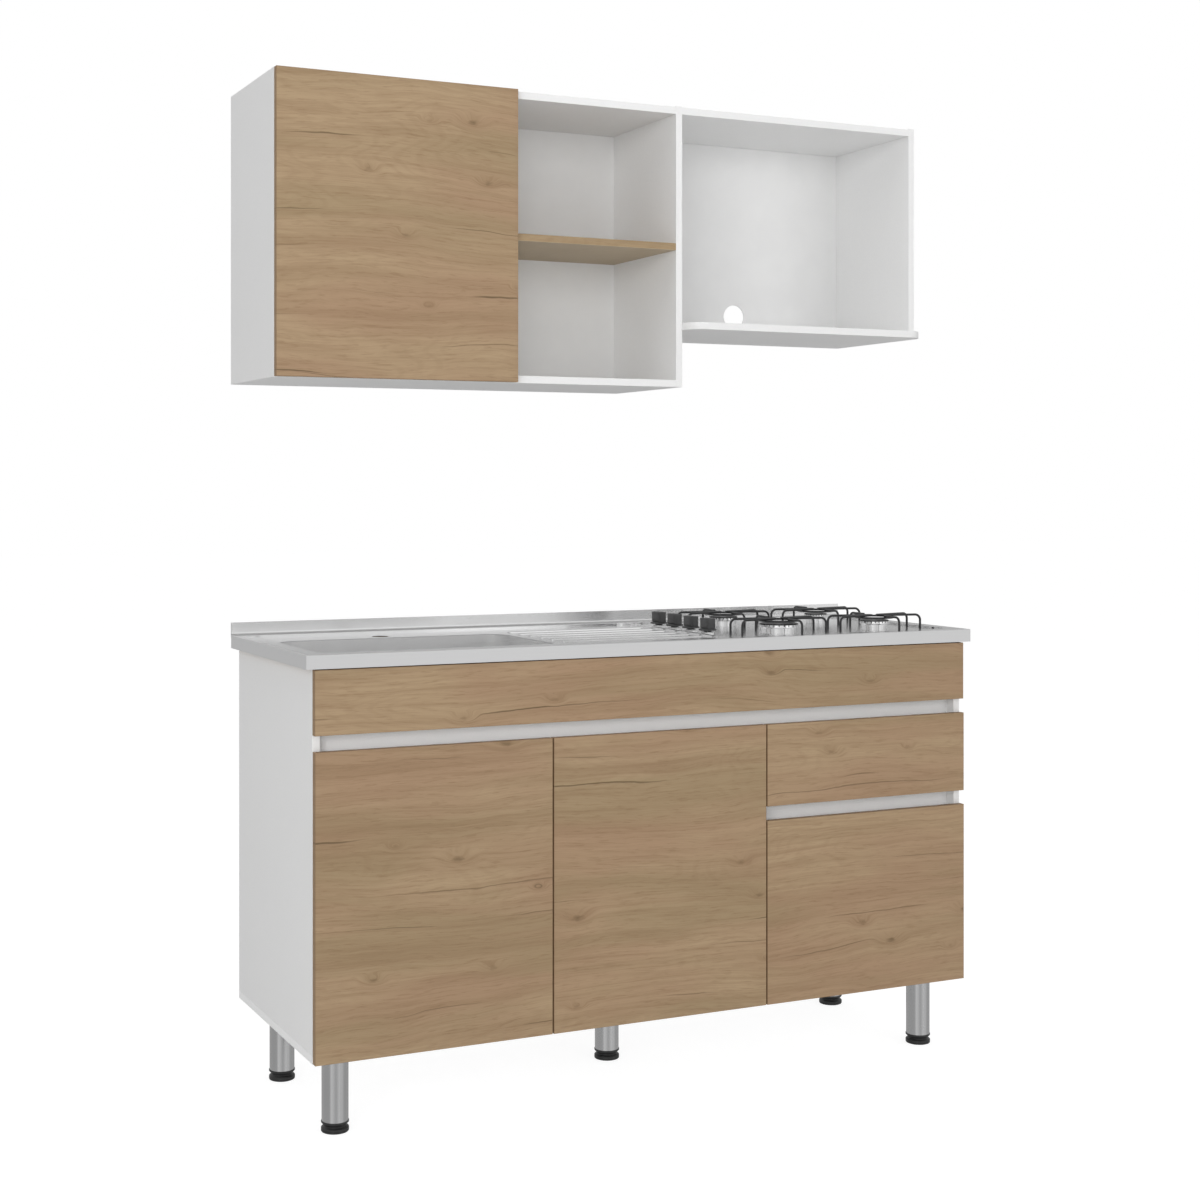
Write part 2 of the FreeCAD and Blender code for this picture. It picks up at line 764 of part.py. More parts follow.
leg_tube_master = turned("leg_tube_master", [
    (leg_bore, foot_height), (leg_radius, foot_height), (leg_radius, plate_under), (leg_bore, plate_under)])
node("leg_tubes", group("leg_tube_group", at_legs("leg_tube_copy", leg_tube_master)))

waist_radius = foot_radius - foot_waist
waist_low = foot_base + foot_slope
waist_high = waist_low + foot_waist_height
spigot_top = foot_height + foot_spigot
foot_master = turned("foot_master", [
    (0, 0), (foot_radius - foot_chamfer, 0), (foot_radius, foot_chamfer), (foot_radius, foot_base),
    (waist_radius, waist_low), (waist_radius, waist_high), (foot_radius, waist_high + foot_collar_taper),
    (foot_radius, foot_height), (socket_radius, foot_height), (socket_radius, spigot_top - foot_chamfer),
    (socket_radius - foot_chamfer, spigot_top), (0, spigot_top)])
node("leg_feet", group("leg_foot_group", at_legs("leg_foot_copy", foot_master)))

# Worktop: pressed steel deck

press_y = (worktop_front + rim_width, wall_y - rim_width)
press_right = half_top - rim_width
support_half = (press_y[1] - press_y[0] - hob_front_margin - hob_back_margin - hob_row_gap) / 4
support_reach = support_half - support_wire
support_side_half = support_side_reach + support_wire
right_column = press_right - hob_right_margin - support_side_half
burner_x = (right_column - support_side_half * 2 - hob_column_gap, right_column)
burner_y = (press_y[0] + hob_front_margin + support_half, press_y[1] - hob_back_margin - support_half)
burners = [("front_left", burner_x[0], burner_y[0], rapid_radius),
           ("front_right", burner_x[1], burner_y[0], standard_radius),
           ("back_left", burner_x[0], burner_y[1], standard_radius),
           ("back_right", burner_x[1], burner_y[1], simmer_radius)]
knob_x = burner_x[0] - support_side_half - knob_gap - knob_radius
knob_y = [burner_y[1] - knob_pitch * number for number in range(len(burners))]
hob_press_x = (knob_x - knob_inset, press_right)
sink_press_x = (rim_width - half_top, hob_press_x[0] - land_width)
bowl_left = sink_press_x[0] + bowl_from_pressing
bowl_x = (bowl_left, bowl_left + bowl_length)
bowl_y = (worktop_front + bowl_front, wall_y - bowl_back)
waste_x = (bowl_x[0] + bowl_x[1]) / 2
waste_y = (bowl_y[0] + bowl_y[1]) / 2
tap_hole_x = waste_x - tap_hole_left
tap_hole_y = bowl_y[1] + tap_hole_behind
drainer_x = (bowl_x[1] + drainer_from_bowl, sink_press_x[1] - drainer_from_land)
through = worktop_edge


def grown(pair, margin):
    """A low and high pair widened by a margin on both sides."""
    return (pair[0] - margin, pair[1] + margin)


def hole(x, y, radius, z=(deck_under - through, deck_top + through)):
    """A plain round cutter along Z."""
    start = FreeCAD.Vector(x.value, y.value, z[0].value)
    return Part.makeCylinder(radius.value, z[1].value - z[0].value, start)


def drainer_ridge(y):
    """A low half-round ridge with round ends, lying along X on the drainer."""
    rise = ridge_height.value
    half = ridge_width.value / 2
    arc_radius = (half * half + rise * rise) / (2 * rise)
    start = FreeCAD.Vector(drainer_x[0].value, y.value, press_floor.value + rise - arc_radius)
    bar = Part.makeCylinder(arc_radius, (drainer_x[1] - drainer_x[0]).value, start, AXIS_X)
    ends = rounded_block(drainer_x, (y - ridge_width / 2, y + ridge_width / 2),
                         (press_floor - sheet_steel / 2, press_floor + ridge_height * 2),
                         (ridge_width - ridge_end_flat) / 2)
    return bar.common(ends)


def worktop_deck_shape():
    """The folded and pressed sheet: skirt, pressed areas, drainer ridges, upstand and holes."""
    block = rounded_block((-half_top, half_top), (worktop_front, wall_y), (carcass_top, deck_top),
                          fold_radius)
    block = block.makeFillet(top_fold_radius.value, level_edges(block, deck_top.value))
    deck = block.cut(plain_block((sheet_steel - half_top, half_top - sheet_steel),
                                 (worktop_front + sheet_steel, wall_y - sheet_steel),
                                 (carcass_top, deck_top - sheet_steel)))
    for press_x in (sink_press_x, hob_press_x):
        pan = rounded_block(grown(press_x, sheet_steel), grown(press_y, sheet_steel),
                            (deck_under, deck_top - sheet_steel / 2), press_radius + sheet_steel)
        deck = deck.fuse(pan)
    for press_x in (sink_press_x, hob_press_x):
        hollow = rounded_block(press_x, press_y, (press_floor, deck_top + press_depth), press_radius)
        deck = deck.cut(hollow)
    upstand_front = wall_y - sheet_steel
    cove_front = upstand_front - upstand_cove
    across = (-half_top, half_top)
    upstand = plain_block(across, (upstand_front, wall_y),
                          (deck_top - upstand_cove, deck_top + upstand_height))
    cove_block = plain_block(across, (cove_front, upstand_front), (deck_top, deck_top + upstand_cove))
    cove_start = FreeCAD.Vector(-half_top.value, cove_front.value, (deck_top + upstand_cove).value)
    cove_round = Part.makeCylinder(upstand_cove.value, kitchen_width.value, cove_start, AXIS_X)
    under_cove = plain_block(across, (cove_front, wall_y), (deck_top - sheet_steel, deck_top))
    deck = deck.fuse([upstand, cove_block.cut(cove_round), under_cove])
    first = press_y[0] + drainer_margin
    pitch = (waste_y - first) * 2 / (ridge_count.value - 1)
    ridges = [drainer_ridge(first + pitch * number) for number in range(int(ridge_count.value))]
    deck = deck.fuse(ridges)
    holes = [rounded_block(bowl_x, bowl_y, (deck_under - through, deck_top + through), bowl_corner)]
    holes.append(hole(tap_hole_x, tap_hole_y, tap_hole_radius))
    holes += [hole(x, y, cup_neck_radius + fit_gap) for name, x, y, radius in burners]
    holes += [hole(knob_x, y, stem_radius + stem_deck_gap) for y in knob_y]
    return deck.cut(holes).removeSplitter()


node("worktop_deck", feature("deck", worktop_deck_shape()))

# Worktop: lining board under the steel, open at the bowl, the tap and the hob

core_x = (sheet_steel + core_clearance - half_top, half_top - sheet_steel - core_clearance)
core_y = (worktop_front + sheet_steel + core_clearance, wall_y - sheet_steel - core_clearance)
core_z = (carcass_top, deck_under)
core_board = box("core_board", core_x, core_y, core_z)
bowl_room = bowl_flange + core_clearance
core_bowl = box("core_bowl_opening", grown(bowl_x, bowl_room), grown(bowl_y, bowl_room),
                grown(core_z, board))
core_tap = rod("core_tap_opening", (tap_hole_x, tap_hole_y, carcass_top - board), core_tap_radius,
               worktop_edge + board * 2)
core_hob = box("core_hob_opening", (hob_press_x[0], hob_press_x[1] - board),
               (press_y[0] + board, press_y[1] - board), grown(core_z, board))
core_sink = fuse("core_sink_openings", core_bowl, core_tap)
node("worktop_core", cut("core_cut", core_board, core_sink, core_hob))

# Sink bowl, waste and waste grid

bowl_bottom = press_floor - bowl_depth


def sink_bowl_shape():
    """The deep-drawn bowl with its flange under the deck and its waste hole."""
    wall = rounded_block(grown(bowl_x, sheet_steel), grown(bowl_y, sheet_steel),
                         (bowl_bottom - sheet_steel, deck_under), bowl_corner + sheet_steel)
    wall = wall.makeFillet((bowl_foot_radius + sheet_steel).value,
                           level_edges(wall, (bowl_bottom - sheet_steel).value))
    flange = rounded_block(grown(bowl_x, bowl_flange), grown(bowl_y, bowl_flange),
                           (deck_under - sheet_steel, deck_under), bowl_corner + bowl_flange)
    hollow = rounded_block(bowl_x, bowl_y, (bowl_bottom, deck_under + through), bowl_corner)
    hollow = hollow.makeFillet(bowl_foot_radius.value, level_edges(hollow, bowl_bottom.value))
    floor_hole = hole(waste_x, waste_y, waste_radius + fit_gap,
                      (bowl_bottom - through, bowl_bottom + through))
    return wall.fuse(flange).cut([hollow, floor_hole]).removeSplitter()


node("sink_bowl", feature("bowl", sink_bowl_shape()))

waste_top = waste_wall
waste_floor = -waste_length
outlet_end = waste_floor - outlet_length
outlet_bore = outlet_radius - waste_wall
waste_bore = waste_radius - waste_wall
waste_master = turned("waste_master", [
    (outlet_bore, outlet_end), (outlet_radius, outlet_end), (outlet_radius, waste_floor),
    (waste_radius, waste_floor), (waste_radius, 0), (waste_flange, 0), (waste_flange - waste_wall, waste_top),
    (waste_bore, waste_top), (waste_bore, waste_floor + waste_wall), (outlet_bore, waste_floor + waste_wall)])
place(waste_master, (waste_x, waste_y, bowl_bottom))
node("sink_waste", waste_master)

nut_top = -sheet_steel
nut_bottom = nut_top - waste_nut_height
nut_bore = waste_radius + fit_gap
waste_nut_master = turned("waste_nut_master", [
    (nut_bore, nut_bottom), (waste_radius + waste_nut_hub, nut_bottom),
    (waste_radius + waste_nut_hub, nut_top - waste_nut_flange),
    (waste_radius + waste_nut_rim, nut_top - waste_nut_flange),
    (waste_radius + waste_nut_rim, nut_top), (nut_bore, nut_top)])
place(waste_nut_master, (waste_x, waste_y, bowl_bottom))
node("waste_nut", waste_nut_master)

grid_radius = waste_bore - fit_gap
grid_top = waste_top
grid_bottom = grid_top - waste_wall
grid_screw_end = waste_floor - outlet_length / 2
grid_disc = turned("grid_disc", [
    (0, grid_screw_end), (grid_screw_radius, grid_screw_end),
    (grid_screw_radius, grid_bottom), (grid_radius, grid_bottom), (grid_radius, grid_top),
    (0, grid_top)])
place(grid_disc, (waste_x, waste_y, bowl_bottom))
grid_ring = []
for number in range(int(grid_holes.value)):
    turn = 2 * math.pi * number / grid_holes.value
    ring_x = waste_x + grid_ring_radius * math.cos(turn)
    ring_y = waste_y + grid_ring_radius * math.sin(turn)
    grid_ring.append(rod(f"grid_hole_{number}", (ring_x, ring_y, bowl_bottom + grid_bottom - waste_wall),
                         grid_hole_radius, waste_wall * 3))
node("waste_grid", cut("waste_grid_cut", grid_disc, *grid_ring))

# Hob: burners

cup_parts = []
cap_parts = []
for name, x, y, radius in burners:
    skirt = radius - cap_overhang
    ring_floor = cup_height - flame_slot_height
    sill = ring_floor - flame_slot_sill
    cup = turned(f"burner_cup_{name}", [
        (0, -cup_neck_length), (cup_neck_radius, -cup_neck_length), (cup_neck_radius, 0),
        (skirt - cup_foot_inset, 0), (skirt - cup_shoulder_inset, sill - cup_shoulder_height), (skirt, sill),
        (skirt, cup_height), (skirt - cup_wall, cup_height), (skirt - cup_wall, ring_floor), (0, ring_floor)])
    slot = cup.newObject("PartDesign::Pocket", f"flame_slot_{name}")
    slot_half = flame_slot_width / 2
    slot_low = ring_floor + flame_slot_sill
    slot_high = cup_height + flame_slot_sill
    slot.Profile = outline(cup, f"flame_slot_{name}_outline", "XZ_Plane", [
        (-slot_half, slot_low), (slot_half, slot_low), (slot_half, slot_high), (-slot_half, slot_high)])
    slot.Type = "ThroughAll"
    ring = cup.newObject("PartDesign::PolarPattern", f"flame_ring_{name}")
    ring.Originals = [slot]
    ring.Axis = (slot.Profile[0], ["V_Axis"])
    ring.Angle = 360
    bind(ring, "Occurrences", flame_slots)
    cup.Tip = ring
    place(cup, (x, y, press_floor))
    cup_parts.append(cup)
    cap_spigot = skirt - cup_wall - fit_gap
    cap_top = cup_height + cap_thickness
    cap = turned(f"burner_cap_{name}", [
        (0, ring_floor), (cap_spigot, ring_floor), (cap_spigot, cup_height), (radius, cup_height),
        (radius, cup_height + cap_rim), (radius - cap_slope, cap_top - cap_crown),
        (radius - cap_crown_inset, cap_top), (0, cap_top)])
    place(cap, (x, y, press_floor))
    cap_parts.append(cap)
node("burner_cups", group("burner_cup_group", cup_parts))
node("burner_caps", group("burner_cap_group", cap_parts))


# Hob: wire pan supports

def bent_bar(points, bends, radius):
    """A round bar along straight runs joined by arcs, one bend radius for each inner corner."""
    edges = []
    last = points[0]
    for number, bend in enumerate(bends, 1):
        point = points[number]
        to_last = (points[number - 1] - point).normalize()
        to_next = (points[number + 1] - point).normalize()
        half_turn = to_last.getAngle(to_next) / 2
        reach = bend / math.tan(half_turn)
        middle = point + (to_last + to_next).normalize() * (bend / math.sin(half_turn) - bend)
        edges.append(Part.LineSegment(last, point + to_last * reach).toShape())
        edges.append(Part.Arc(point + to_last * reach, middle, point + to_next * reach).toShape())
        last = point + to_next * reach
    edges.append(Part.LineSegment(last, points[-1]).toShape())
    section = Part.Wire(Part.makeCircle(radius, points[0], points[1] - points[0]))
    return Part.Wire(edges).makePipeShell([section], True, False)


def pan_support_shape():
    """Two hairpin arms to the sides and a single arm to the front and the back, welded to a ring."""
    height = support_height.value - support_wire.value
    reach = support_side_reach.value
    half = support_leg_gap.value / 2
    tip = support_tip.value
    tip_bend = support_tip_bend.value
    hairpin = [FreeCAD.Vector(reach, -half, 0), FreeCAD.Vector(reach, -half, height),
               FreeCAD.Vector(tip, -tip_bend, height), FreeCAD.Vector(tip, tip_bend, height),
               FreeCAD.Vector(reach, half, height), FreeCAD.Vector(reach, half, 0)]
    hairpin_bends = [support_bend.value, tip_bend, tip_bend, support_bend.value]
    arm_end = support_ring.value - support_ring_wire.value
    single = [FreeCAD.Vector(0, -support_reach.value, 0), FreeCAD.Vector(0, -support_reach.value, height),
              FreeCAD.Vector(0, -arm_end, height)]
    ring_spot = FreeCAD.Vector(0, 0, height - support_ring_drop.value)
    ring = Part.makeTorus(support_ring.value, support_ring_wire.value, ring_spot)
    arms = []
    for degrees in (0, 180):
        turn = FreeCAD.Rotation(AXIS_Z, degrees)
        for points, bends in ((hairpin, hairpin_bends), (single, [support_bend.value])):
            arms.append(bent_bar([turn.multVec(point) for point in points], bends, support_wire.value))
    return ring.fuse(arms).Solids[0]


support_shape = pan_support_shape()
for name, x, y, radius in burners:
    support = feature(f"support_{name}", support_shape.copy())
    place(support, (x, y, press_floor + support_seat))
    node(f"pan_support_{name}", support)

# Hob: knobs, bezels, gas taps and pipework

bezel_bore = stem_radius + bezel_bore_gap
bezel_master = turned("bezel_master", [
    (bezel_bore, 0), (bezel_radius, 0), (bezel_radius, bezel_height - bezel_chamfer),
    (bezel_radius - bezel_chamfer, bezel_height), (bezel_bore, bezel_height)])
bezel_spots = [(knob_x, y, press_floor) for y in knob_y]
node("knob_bezels", group("bezel_group", copies("bezel", bezel_master, bezel_spots)))

knob_floor = bezel_height + fit_gap
grip_half = knob_grip_width / 2
grip_depth = knob_grip_depth / 2
stem_bottom = stem_end_gap - sheet_steel - tap_bore_depth
grip_floor = knob_floor + knob_flange
for number, y in enumerate(knob_y, 1):
    flange = turned(f"knob_flange_{number}", [
        (0, stem_bottom), (stem_radius, stem_bottom), (stem_radius, knob_floor), (knob_radius, knob_floor),
        (knob_radius, grip_floor - knob_flange_chamfer), (knob_radius - knob_flange_chamfer, grip_floor),
        (0, grip_floor)])
    grip = padded(f"knob_grip_{number}", [
        (-grip_half, -grip_depth + knob_corner), (-grip_half + knob_corner, -grip_depth),
        (grip_half - knob_corner, -grip_depth), (grip_half, -grip_depth + knob_corner),
        (grip_half, grip_depth - knob_corner), (grip_half - knob_corner, grip_depth),
        (-grip_half + knob_corner, grip_depth), (-grip_half, grip_depth - knob_corner)],
        knob_height - knob_flange, grip_floor)
    knob = fuse(f"knob_solid_{number}", flange, grip)
    place(knob, (knob_x, y, press_floor))
    node(f"knob_{number}", knob)

tap_half = tap_body_size / 2
tap_block = box("tap_block", (-tap_half, tap_half), (-tap_half, tap_half),
                (deck_under - tap_body_height, deck_under))
tap_bore = rod("tap_bore", (0, 0, deck_under - tap_bore_depth), stem_radius + stem_hole_gap, tap_body_height)
tap_master = cut("tap_master", tap_block, tap_bore)
node("gas_taps", group("gas_tap_group", copies("gas_tap", tap_master, [(knob_x, y, 0) for y in knob_y])))

manifold_z = deck_under - tap_body_height - manifold_radius
manifold = rod("manifold", (knob_x, knob_y[3] - tap_body_size, manifold_z), manifold_radius,
               knob_pitch * 3 + tap_body_size * 2, "y")
node("gas_manifold", manifold)


def gas_pipe(tap_y, x, y, level):
    """A pipe from the side of a tap, straight to the foot of its burner and up into it."""
    start = FreeCAD.Vector((knob_x + tap_half).value, tap_y.value, level.value)
    stub = start + FreeCAD.Vector(pipe_stub.value, 0, 0)
    foot = FreeCAD.Vector(x.value, y.value, level.value)
    rise = FreeCAD.Vector(x.value, y.value, (press_floor - cup_neck_length).value)
    if abs(foot.y - start.y) < pipe_radius.value:
        foot.y = start.y
        rise.y = start.y
        return bent_bar([start, foot, rise], [pipe_bend.value], pipe_radius.value)
    return bent_bar([start, stub, foot, rise], [pipe_turn.value, pipe_bend.value], pipe_radius.value)


upper_level = press_floor - cup_neck_length - pipe_bend - pipe_radius
lower_level = upper_level - pipe_level_step
burner_spots = {name: (x, y) for name, x, y, radius in burners}
pipes = [gas_pipe(knob_y[0], *burner_spots["back_right"], lower_level),
         gas_pipe(knob_y[1], *burner_spots["back_left"], upper_level),
         gas_pipe(knob_y[2], *burner_spots["front_left"], upper_level),
         gas_pipe(knob_y[3], *burner_spots["front_right"], lower_level)]
node("gas_pipes", feature("gas_pipe_group", Part.makeCompound(pipes)))
service_notch = box("hob_service_notch", (partition_left - board, partition_right + board),
                    (knob_y[3] - tap_body_size - service_room, knob_y[0] + tap_body_size + service_room),
                    (manifold_z - manifold_radius - service_room, carcass_top + board))
node("base_partition", cut("partition_cut", partition_board, partition_notch, service_notch))

# Drawer

drawer_left = partition_right + runner_space
drawer_right = inner_right - runner_space
drawer_floor = lower_channel_z[1] + drawer_lift
drawer_top = upper_channel_z[0] - drawer_top_room
drawer_start = carcass_front - front_gap
drawer_end = base_back - drawer_back_room
drawer_y = (drawer_start, drawer_end)
drawer_z = (drawer_floor, drawer_top)
front_y = (front_face, carcass_front - front_gap)
node("drawer_front", box("drawer_front_board", (stack_left, front_half), front_y,
                         (drawer_front_bottom, doors_top)))
node("drawer_sides", group("drawer_side_group", [
    box("drawer_side_left", (drawer_left, drawer_left + drawer_board), drawer_y, drawer_z),
    box("drawer_side_right", (drawer_right - drawer_board, drawer_right), drawer_y, drawer_z)]))
drawer_inside = (drawer_left + drawer_board, drawer_right - drawer_board)
drawer_sheet_low = drawer_floor + drawer_groove_lift
drawer_sheet_z = (drawer_sheet_low, drawer_sheet_low + drawer_bottom_board)
node("drawer_back", box("drawer_back_board", drawer_inside, (drawer_end - drawer_board, drawer_end),
                        (drawer_sheet_z[1], drawer_top)))
node("drawer_bottom", box("drawer_bottom_board", drawer_inside, drawer_y, drawer_sheet_z))

runner_start = carcass_front + runner_setback
runner_y = (runner_start, runner_start + drawer_end - drawer_start)
runner_middle = (drawer_floor + drawer_top) / 2
runner_z = (runner_middle - runner_height / 2, runner_middle + runner_height / 2)


def runner_rail(label, face, side):
    """The fixed channel on a carcass wall; side is the direction towards the drawer."""
    reach = runner_lip * side
    low, high = (face, face + reach) if side > 0 else (face + reach, face)
    block = box(f"{label}_block", (low, high), runner_y, runner_z)
    web = runner_wall * side
    low, high = (face + web, face + reach) if side > 0 else (face + reach, face + web)
    hollow = box(f"{label}_hollow", (low, high), runner_y, grown(runner_z, -runner_wall))
    return cut(label, block, hollow)


def runner_slide(label, face, drawer_face, side):
    """The moving member on the drawer side, running inside the fixed channel."""
    tip = face + (runner_wall + fit_gap) * side
    low, high = (tip, drawer_face) if side > 0 else (drawer_face, tip)
    return box(label, (low, high), (runner_start, drawer_end - board),
               grown(runner_z, -runner_wall - fit_gap))


node("drawer_runner_rails", group("runner_rails", [
    runner_rail("runner_rail_left", partition_right, 1), runner_rail("runner_rail_right", inner_right, -1)]))
node("drawer_runner_slides", group("runner_slides", [
    runner_slide("runner_slide_left", partition_right, drawer_left, 1),
    runner_slide("runner_slide_right", inner_right, drawer_right, -1)]))

# Doors on concealed hinges

hinge_cup_depth = front_board - hinge_cup_cover
hinge_cup_edge = hinge_cup_radius + hinge_cup_margin
hinge_pin_x = hinge_cup_margin + hinge_cup_wall + hinge_pin_inset
hinge_pin_depth = hinge_cup_depth - hinge_pin_lift
hinge_arm_reach = board - front_inset + hinge_plate_thickness + hinge_arm_strip / 2
hinge_arms = []


def hinged_door(label, x, z, back_face, hinge_side, wall_face):
    """A front board with cup bores, its hinge cups with pins, and the fixed arms behind it.

    hinge_side is -1 for hinges on the left edge and 1 for the right; wall_face is the inner face
    of the board that carries the arms.
    """
    inward = -hinge_side
    edge = x[0] if hinge_side < 0 else x[1]
    door_y = (back_face - front_board, back_face)
    cup_x = edge + hinge_cup_edge * inward
    pin_x = edge + hinge_pin_x * inward
    pin_y = back_face - hinge_pin_depth
    levels = (z[0] + hinge_from_end, z[1] - hinge_from_end)
    bores = []
    cups = []
    for number, level in enumerate(levels, 1):
        tag = f"{label}_{number}"
        bores.append(rod(f"{tag}_bore", (cup_x, back_face - hinge_cup_depth, level), hinge_cup_radius,
                         hinge_cup_depth * 2, "y"))
        cup_solid = rod(f"{tag}_cup", (cup_x, back_face - hinge_cup_depth, level), hinge_cup_radius,
                        hinge_cup_depth, "y")
        half_flange = hinge_flange_height / 2
        flange_x = (cup_x - hinge_flange_width / 2, cup_x + hinge_flange_width / 2)
        flange = box(f"{tag}_flange", flange_x, (back_face, back_face + hinge_flange),
                     (level - half_flange, level + half_flange))
        hollow = rod(f"{tag}_hollow", (cup_x, back_face - hinge_cup_depth + hinge_cup_wall, level),
                     hinge_cup_radius - hinge_cup_wall, hinge_cup_depth * 2, "y")
        pin_bar = rod(f"{tag}_pin_bar", (pin_x, pin_y, level - hinge_cup_radius), hinge_pin_radius,
                      hinge_cup_radius * 2)
        pin = common(f"{tag}_pin", pin_bar, cup_solid)
        shell = cut(f"{tag}_shell", fuse(f"{tag}_pressing", cup_solid, flange), hollow)
        cups.append(fuse(f"{tag}_cup_with_pin", shell, pin))
        hinge_arms.append(hinge_arm(tag, edge, pin_x, pin_y, level, back_face + front_gap, inward, wall_face))
    node(label, cut(f"{label}_board_cut", box(f"{label}_board", x, door_y, z), *bores))
    node(f"{label}_hinge_cups", group(f"{label}_cups", cups))


def hinge_arm(tag, edge, pin_x, pin_y, level, front, inward, wall_face):
    """A cranked arm from the pin eye out of the cup to a plate on the carcass wall."""
    half = hinge_arm_strip / 2
    reach = edge + hinge_arm_reach * inward
    near = reach - half * inward
    far = reach + half * inward
    end = front + hinge_arm_length
    bottom = level - hinge_arm_height / 2
    strip = padded(f"{tag}_strip", [
        (pin_x, pin_y - half), (far, pin_y - half), (far, end), (near, end), (near, pin_y + half),
        (pin_x, pin_y + half)], hinge_arm_height, bottom)
    eye = rod(f"{tag}_eye", (pin_x, pin_y, bottom), hinge_eye_radius, hinge_arm_height)
    low, high = (wall_face, near) if inward > 0 else (near, wall_face)
    plate = box(f"{tag}_plate", (low, high), (front + hinge_plate_start, end),
                (level - hinge_plate_height / 2, level + hinge_plate_height / 2))
    bore = rod(f"{tag}_eye_bore", (pin_x, pin_y, bottom - hinge_arm_strip),
               hinge_pin_radius + hinge_eye_gap, hinge_arm_height + hinge_arm_strip * 2)
    return cut(f"{tag}_arm", fuse(f"{tag}_arm_solid", strip, eye, plate), bore)


base_door_back = carcass_front - front_gap
tall_door_z = (doors_bottom, doors_top)
hinged_door("door_left", (-front_half, door_split - half_reveal), tall_door_z, base_door_back, -1, inner_left)
hinged_door("door_middle", (door_split + half_reveal, stack_split - half_reveal), tall_door_z, base_door_back,
            1, partition_left)
hinged_door("door_right", (stack_left, front_half), (doors_bottom, right_door_top), base_door_back,
            1, inner_right)

# Wall unit

wall_half = kitchen_width / 2
wall_top = wall_unit_bottom + wall_unit_height
wall_front = wall_y - wall_unit_depth
wall_unit_y = (wall_front, wall_y)
panel_back = wall_y - hanging_space
panel_front = panel_back - back_board
upper_panel_z = (wall_top - top_drop - board, wall_top - top_drop)
lower_panel_z = (wall_unit_bottom, wall_unit_bottom + board)
tall_right = -wall_half + tall_part_width
tall_inner = (-wall_half + board, tall_right - board)
wall_door_x = (front_inset - wall_half, front_inset - wall_half + wall_door_width)
wall_partition_left = wall_door_x[1] - wall_door_lap
partition_x = (wall_partition_left, wall_partition_left + board)
inner_z = (lower_panel_z[1], upper_panel_z[0])
inner_y = (wall_front, panel_front)
full_z = (wall_unit_bottom, wall_top)
node("wall_left_side", box("wall_left_board", (-wall_half, tall_inner[0]), wall_unit_y, full_z))
node("wall_middle_side", box("wall_middle_board", (tall_inner[1], tall_right), wall_unit_y, full_z))
node("wall_top_panel", box("wall_top_board", tall_inner, wall_unit_y, upper_panel_z))
node("wall_bottom_panel", box("wall_bottom_board", tall_inner, wall_unit_y, lower_panel_z))
node("wall_partition", box("wall_partition_board", partition_x, inner_y, inner_z))
niche_shelf_z = wall_unit_bottom + niche_shelf_lift
node("niche_shelf", box("niche_shelf_board", (partition_x[1], tall_inner[1]), inner_y,
                        (niche_shelf_z, niche_shelf_z + board)))
cupboard_x = (tall_inner[0], partition_x[0])
cupboard_shelf_z = wall_unit_bottom + cupboard_shelf_lift
shelf_y = (wall_front + shelf_setback, panel_front - seat_gap)
node("cupboard_shelf", box("cupboard_shelf_board", grown(cupboard_x, -seat_gap), shelf_y,
                           (cupboard_shelf_z, cupboard_shelf_z + board)))
pins = []
for row, pin_row in (("front", shelf_y[0] + shelf_pin_inset), ("back", shelf_y[1] - shelf_pin_inset)):
    pins.append(rod(f"shelf_pin_left_{row}", (cupboard_x[0], pin_row, cupboard_shelf_z - shelf_pin_radius),
                    shelf_pin_radius, shelf_pin_length, "x"))
    pins.append(rod(f"shelf_pin_right_{row}", (cupboard_x[1] - shelf_pin_length, pin_row,
                                               cupboard_shelf_z - shelf_pin_radius),
                    shelf_pin_radius, shelf_pin_length, "x"))
node("shelf_pins", group("shelf_pin_group", pins))
node("cupboard_back_panel", box("cupboard_back_sheet", tall_inner, (panel_front, panel_back), inner_z))

microwave_x = (tall_right, wall_half - board)
microwave_shelf_low = wall_unit_bottom + microwave_shelf_lift
microwave_shelf_z = (microwave_shelf_low, microwave_shelf_low + board)
node("microwave_top_panel", box("microwave_top_board", microwave_x, wall_unit_y, upper_panel_z))
node("microwave_right_side", box("microwave_right_board", (microwave_x[1], wall_half), wall_unit_y,
                                 (microwave_shelf_z[1], wall_top)))


def microwave_shelf_shape():
    """The deep shelf of the microwave niche with both front corners rounded."""
    block = plain_block((tall_right, wall_half), (wall_y - microwave_shelf_depth, wall_y), microwave_shelf_z)
    middle_y = (wall_y - microwave_shelf_depth / 2).value
    corners = [edge for edge in block.Edges
               if edge.BoundBox.ZLength > board.value / 2 and edge.BoundBox.YMax < middle_y]
    return block.makeFillet(microwave_shelf_corner.value, corners)


node("microwave_shelf", feature("microwave_shelf_board", microwave_shelf_shape()))
cable_hole_x = (microwave_x[0] + microwave_x[1]) / 2 + cable_hole_offset
cable_z = microwave_shelf_z[1] + cable_hole_lift
microwave_sheet = box("microwave_back_sheet", microwave_x, (panel_front, panel_back),
                      (microwave_shelf_z[1], upper_panel_z[0]))
cable_hole = rod("cable_hole", (cable_hole_x, panel_front - board, cable_z), cable_hole_radius,
                 board * 2 + back_board, "y")
node("microwave_back_panel", cut("microwave_back_cut", microwave_sheet, cable_hole))

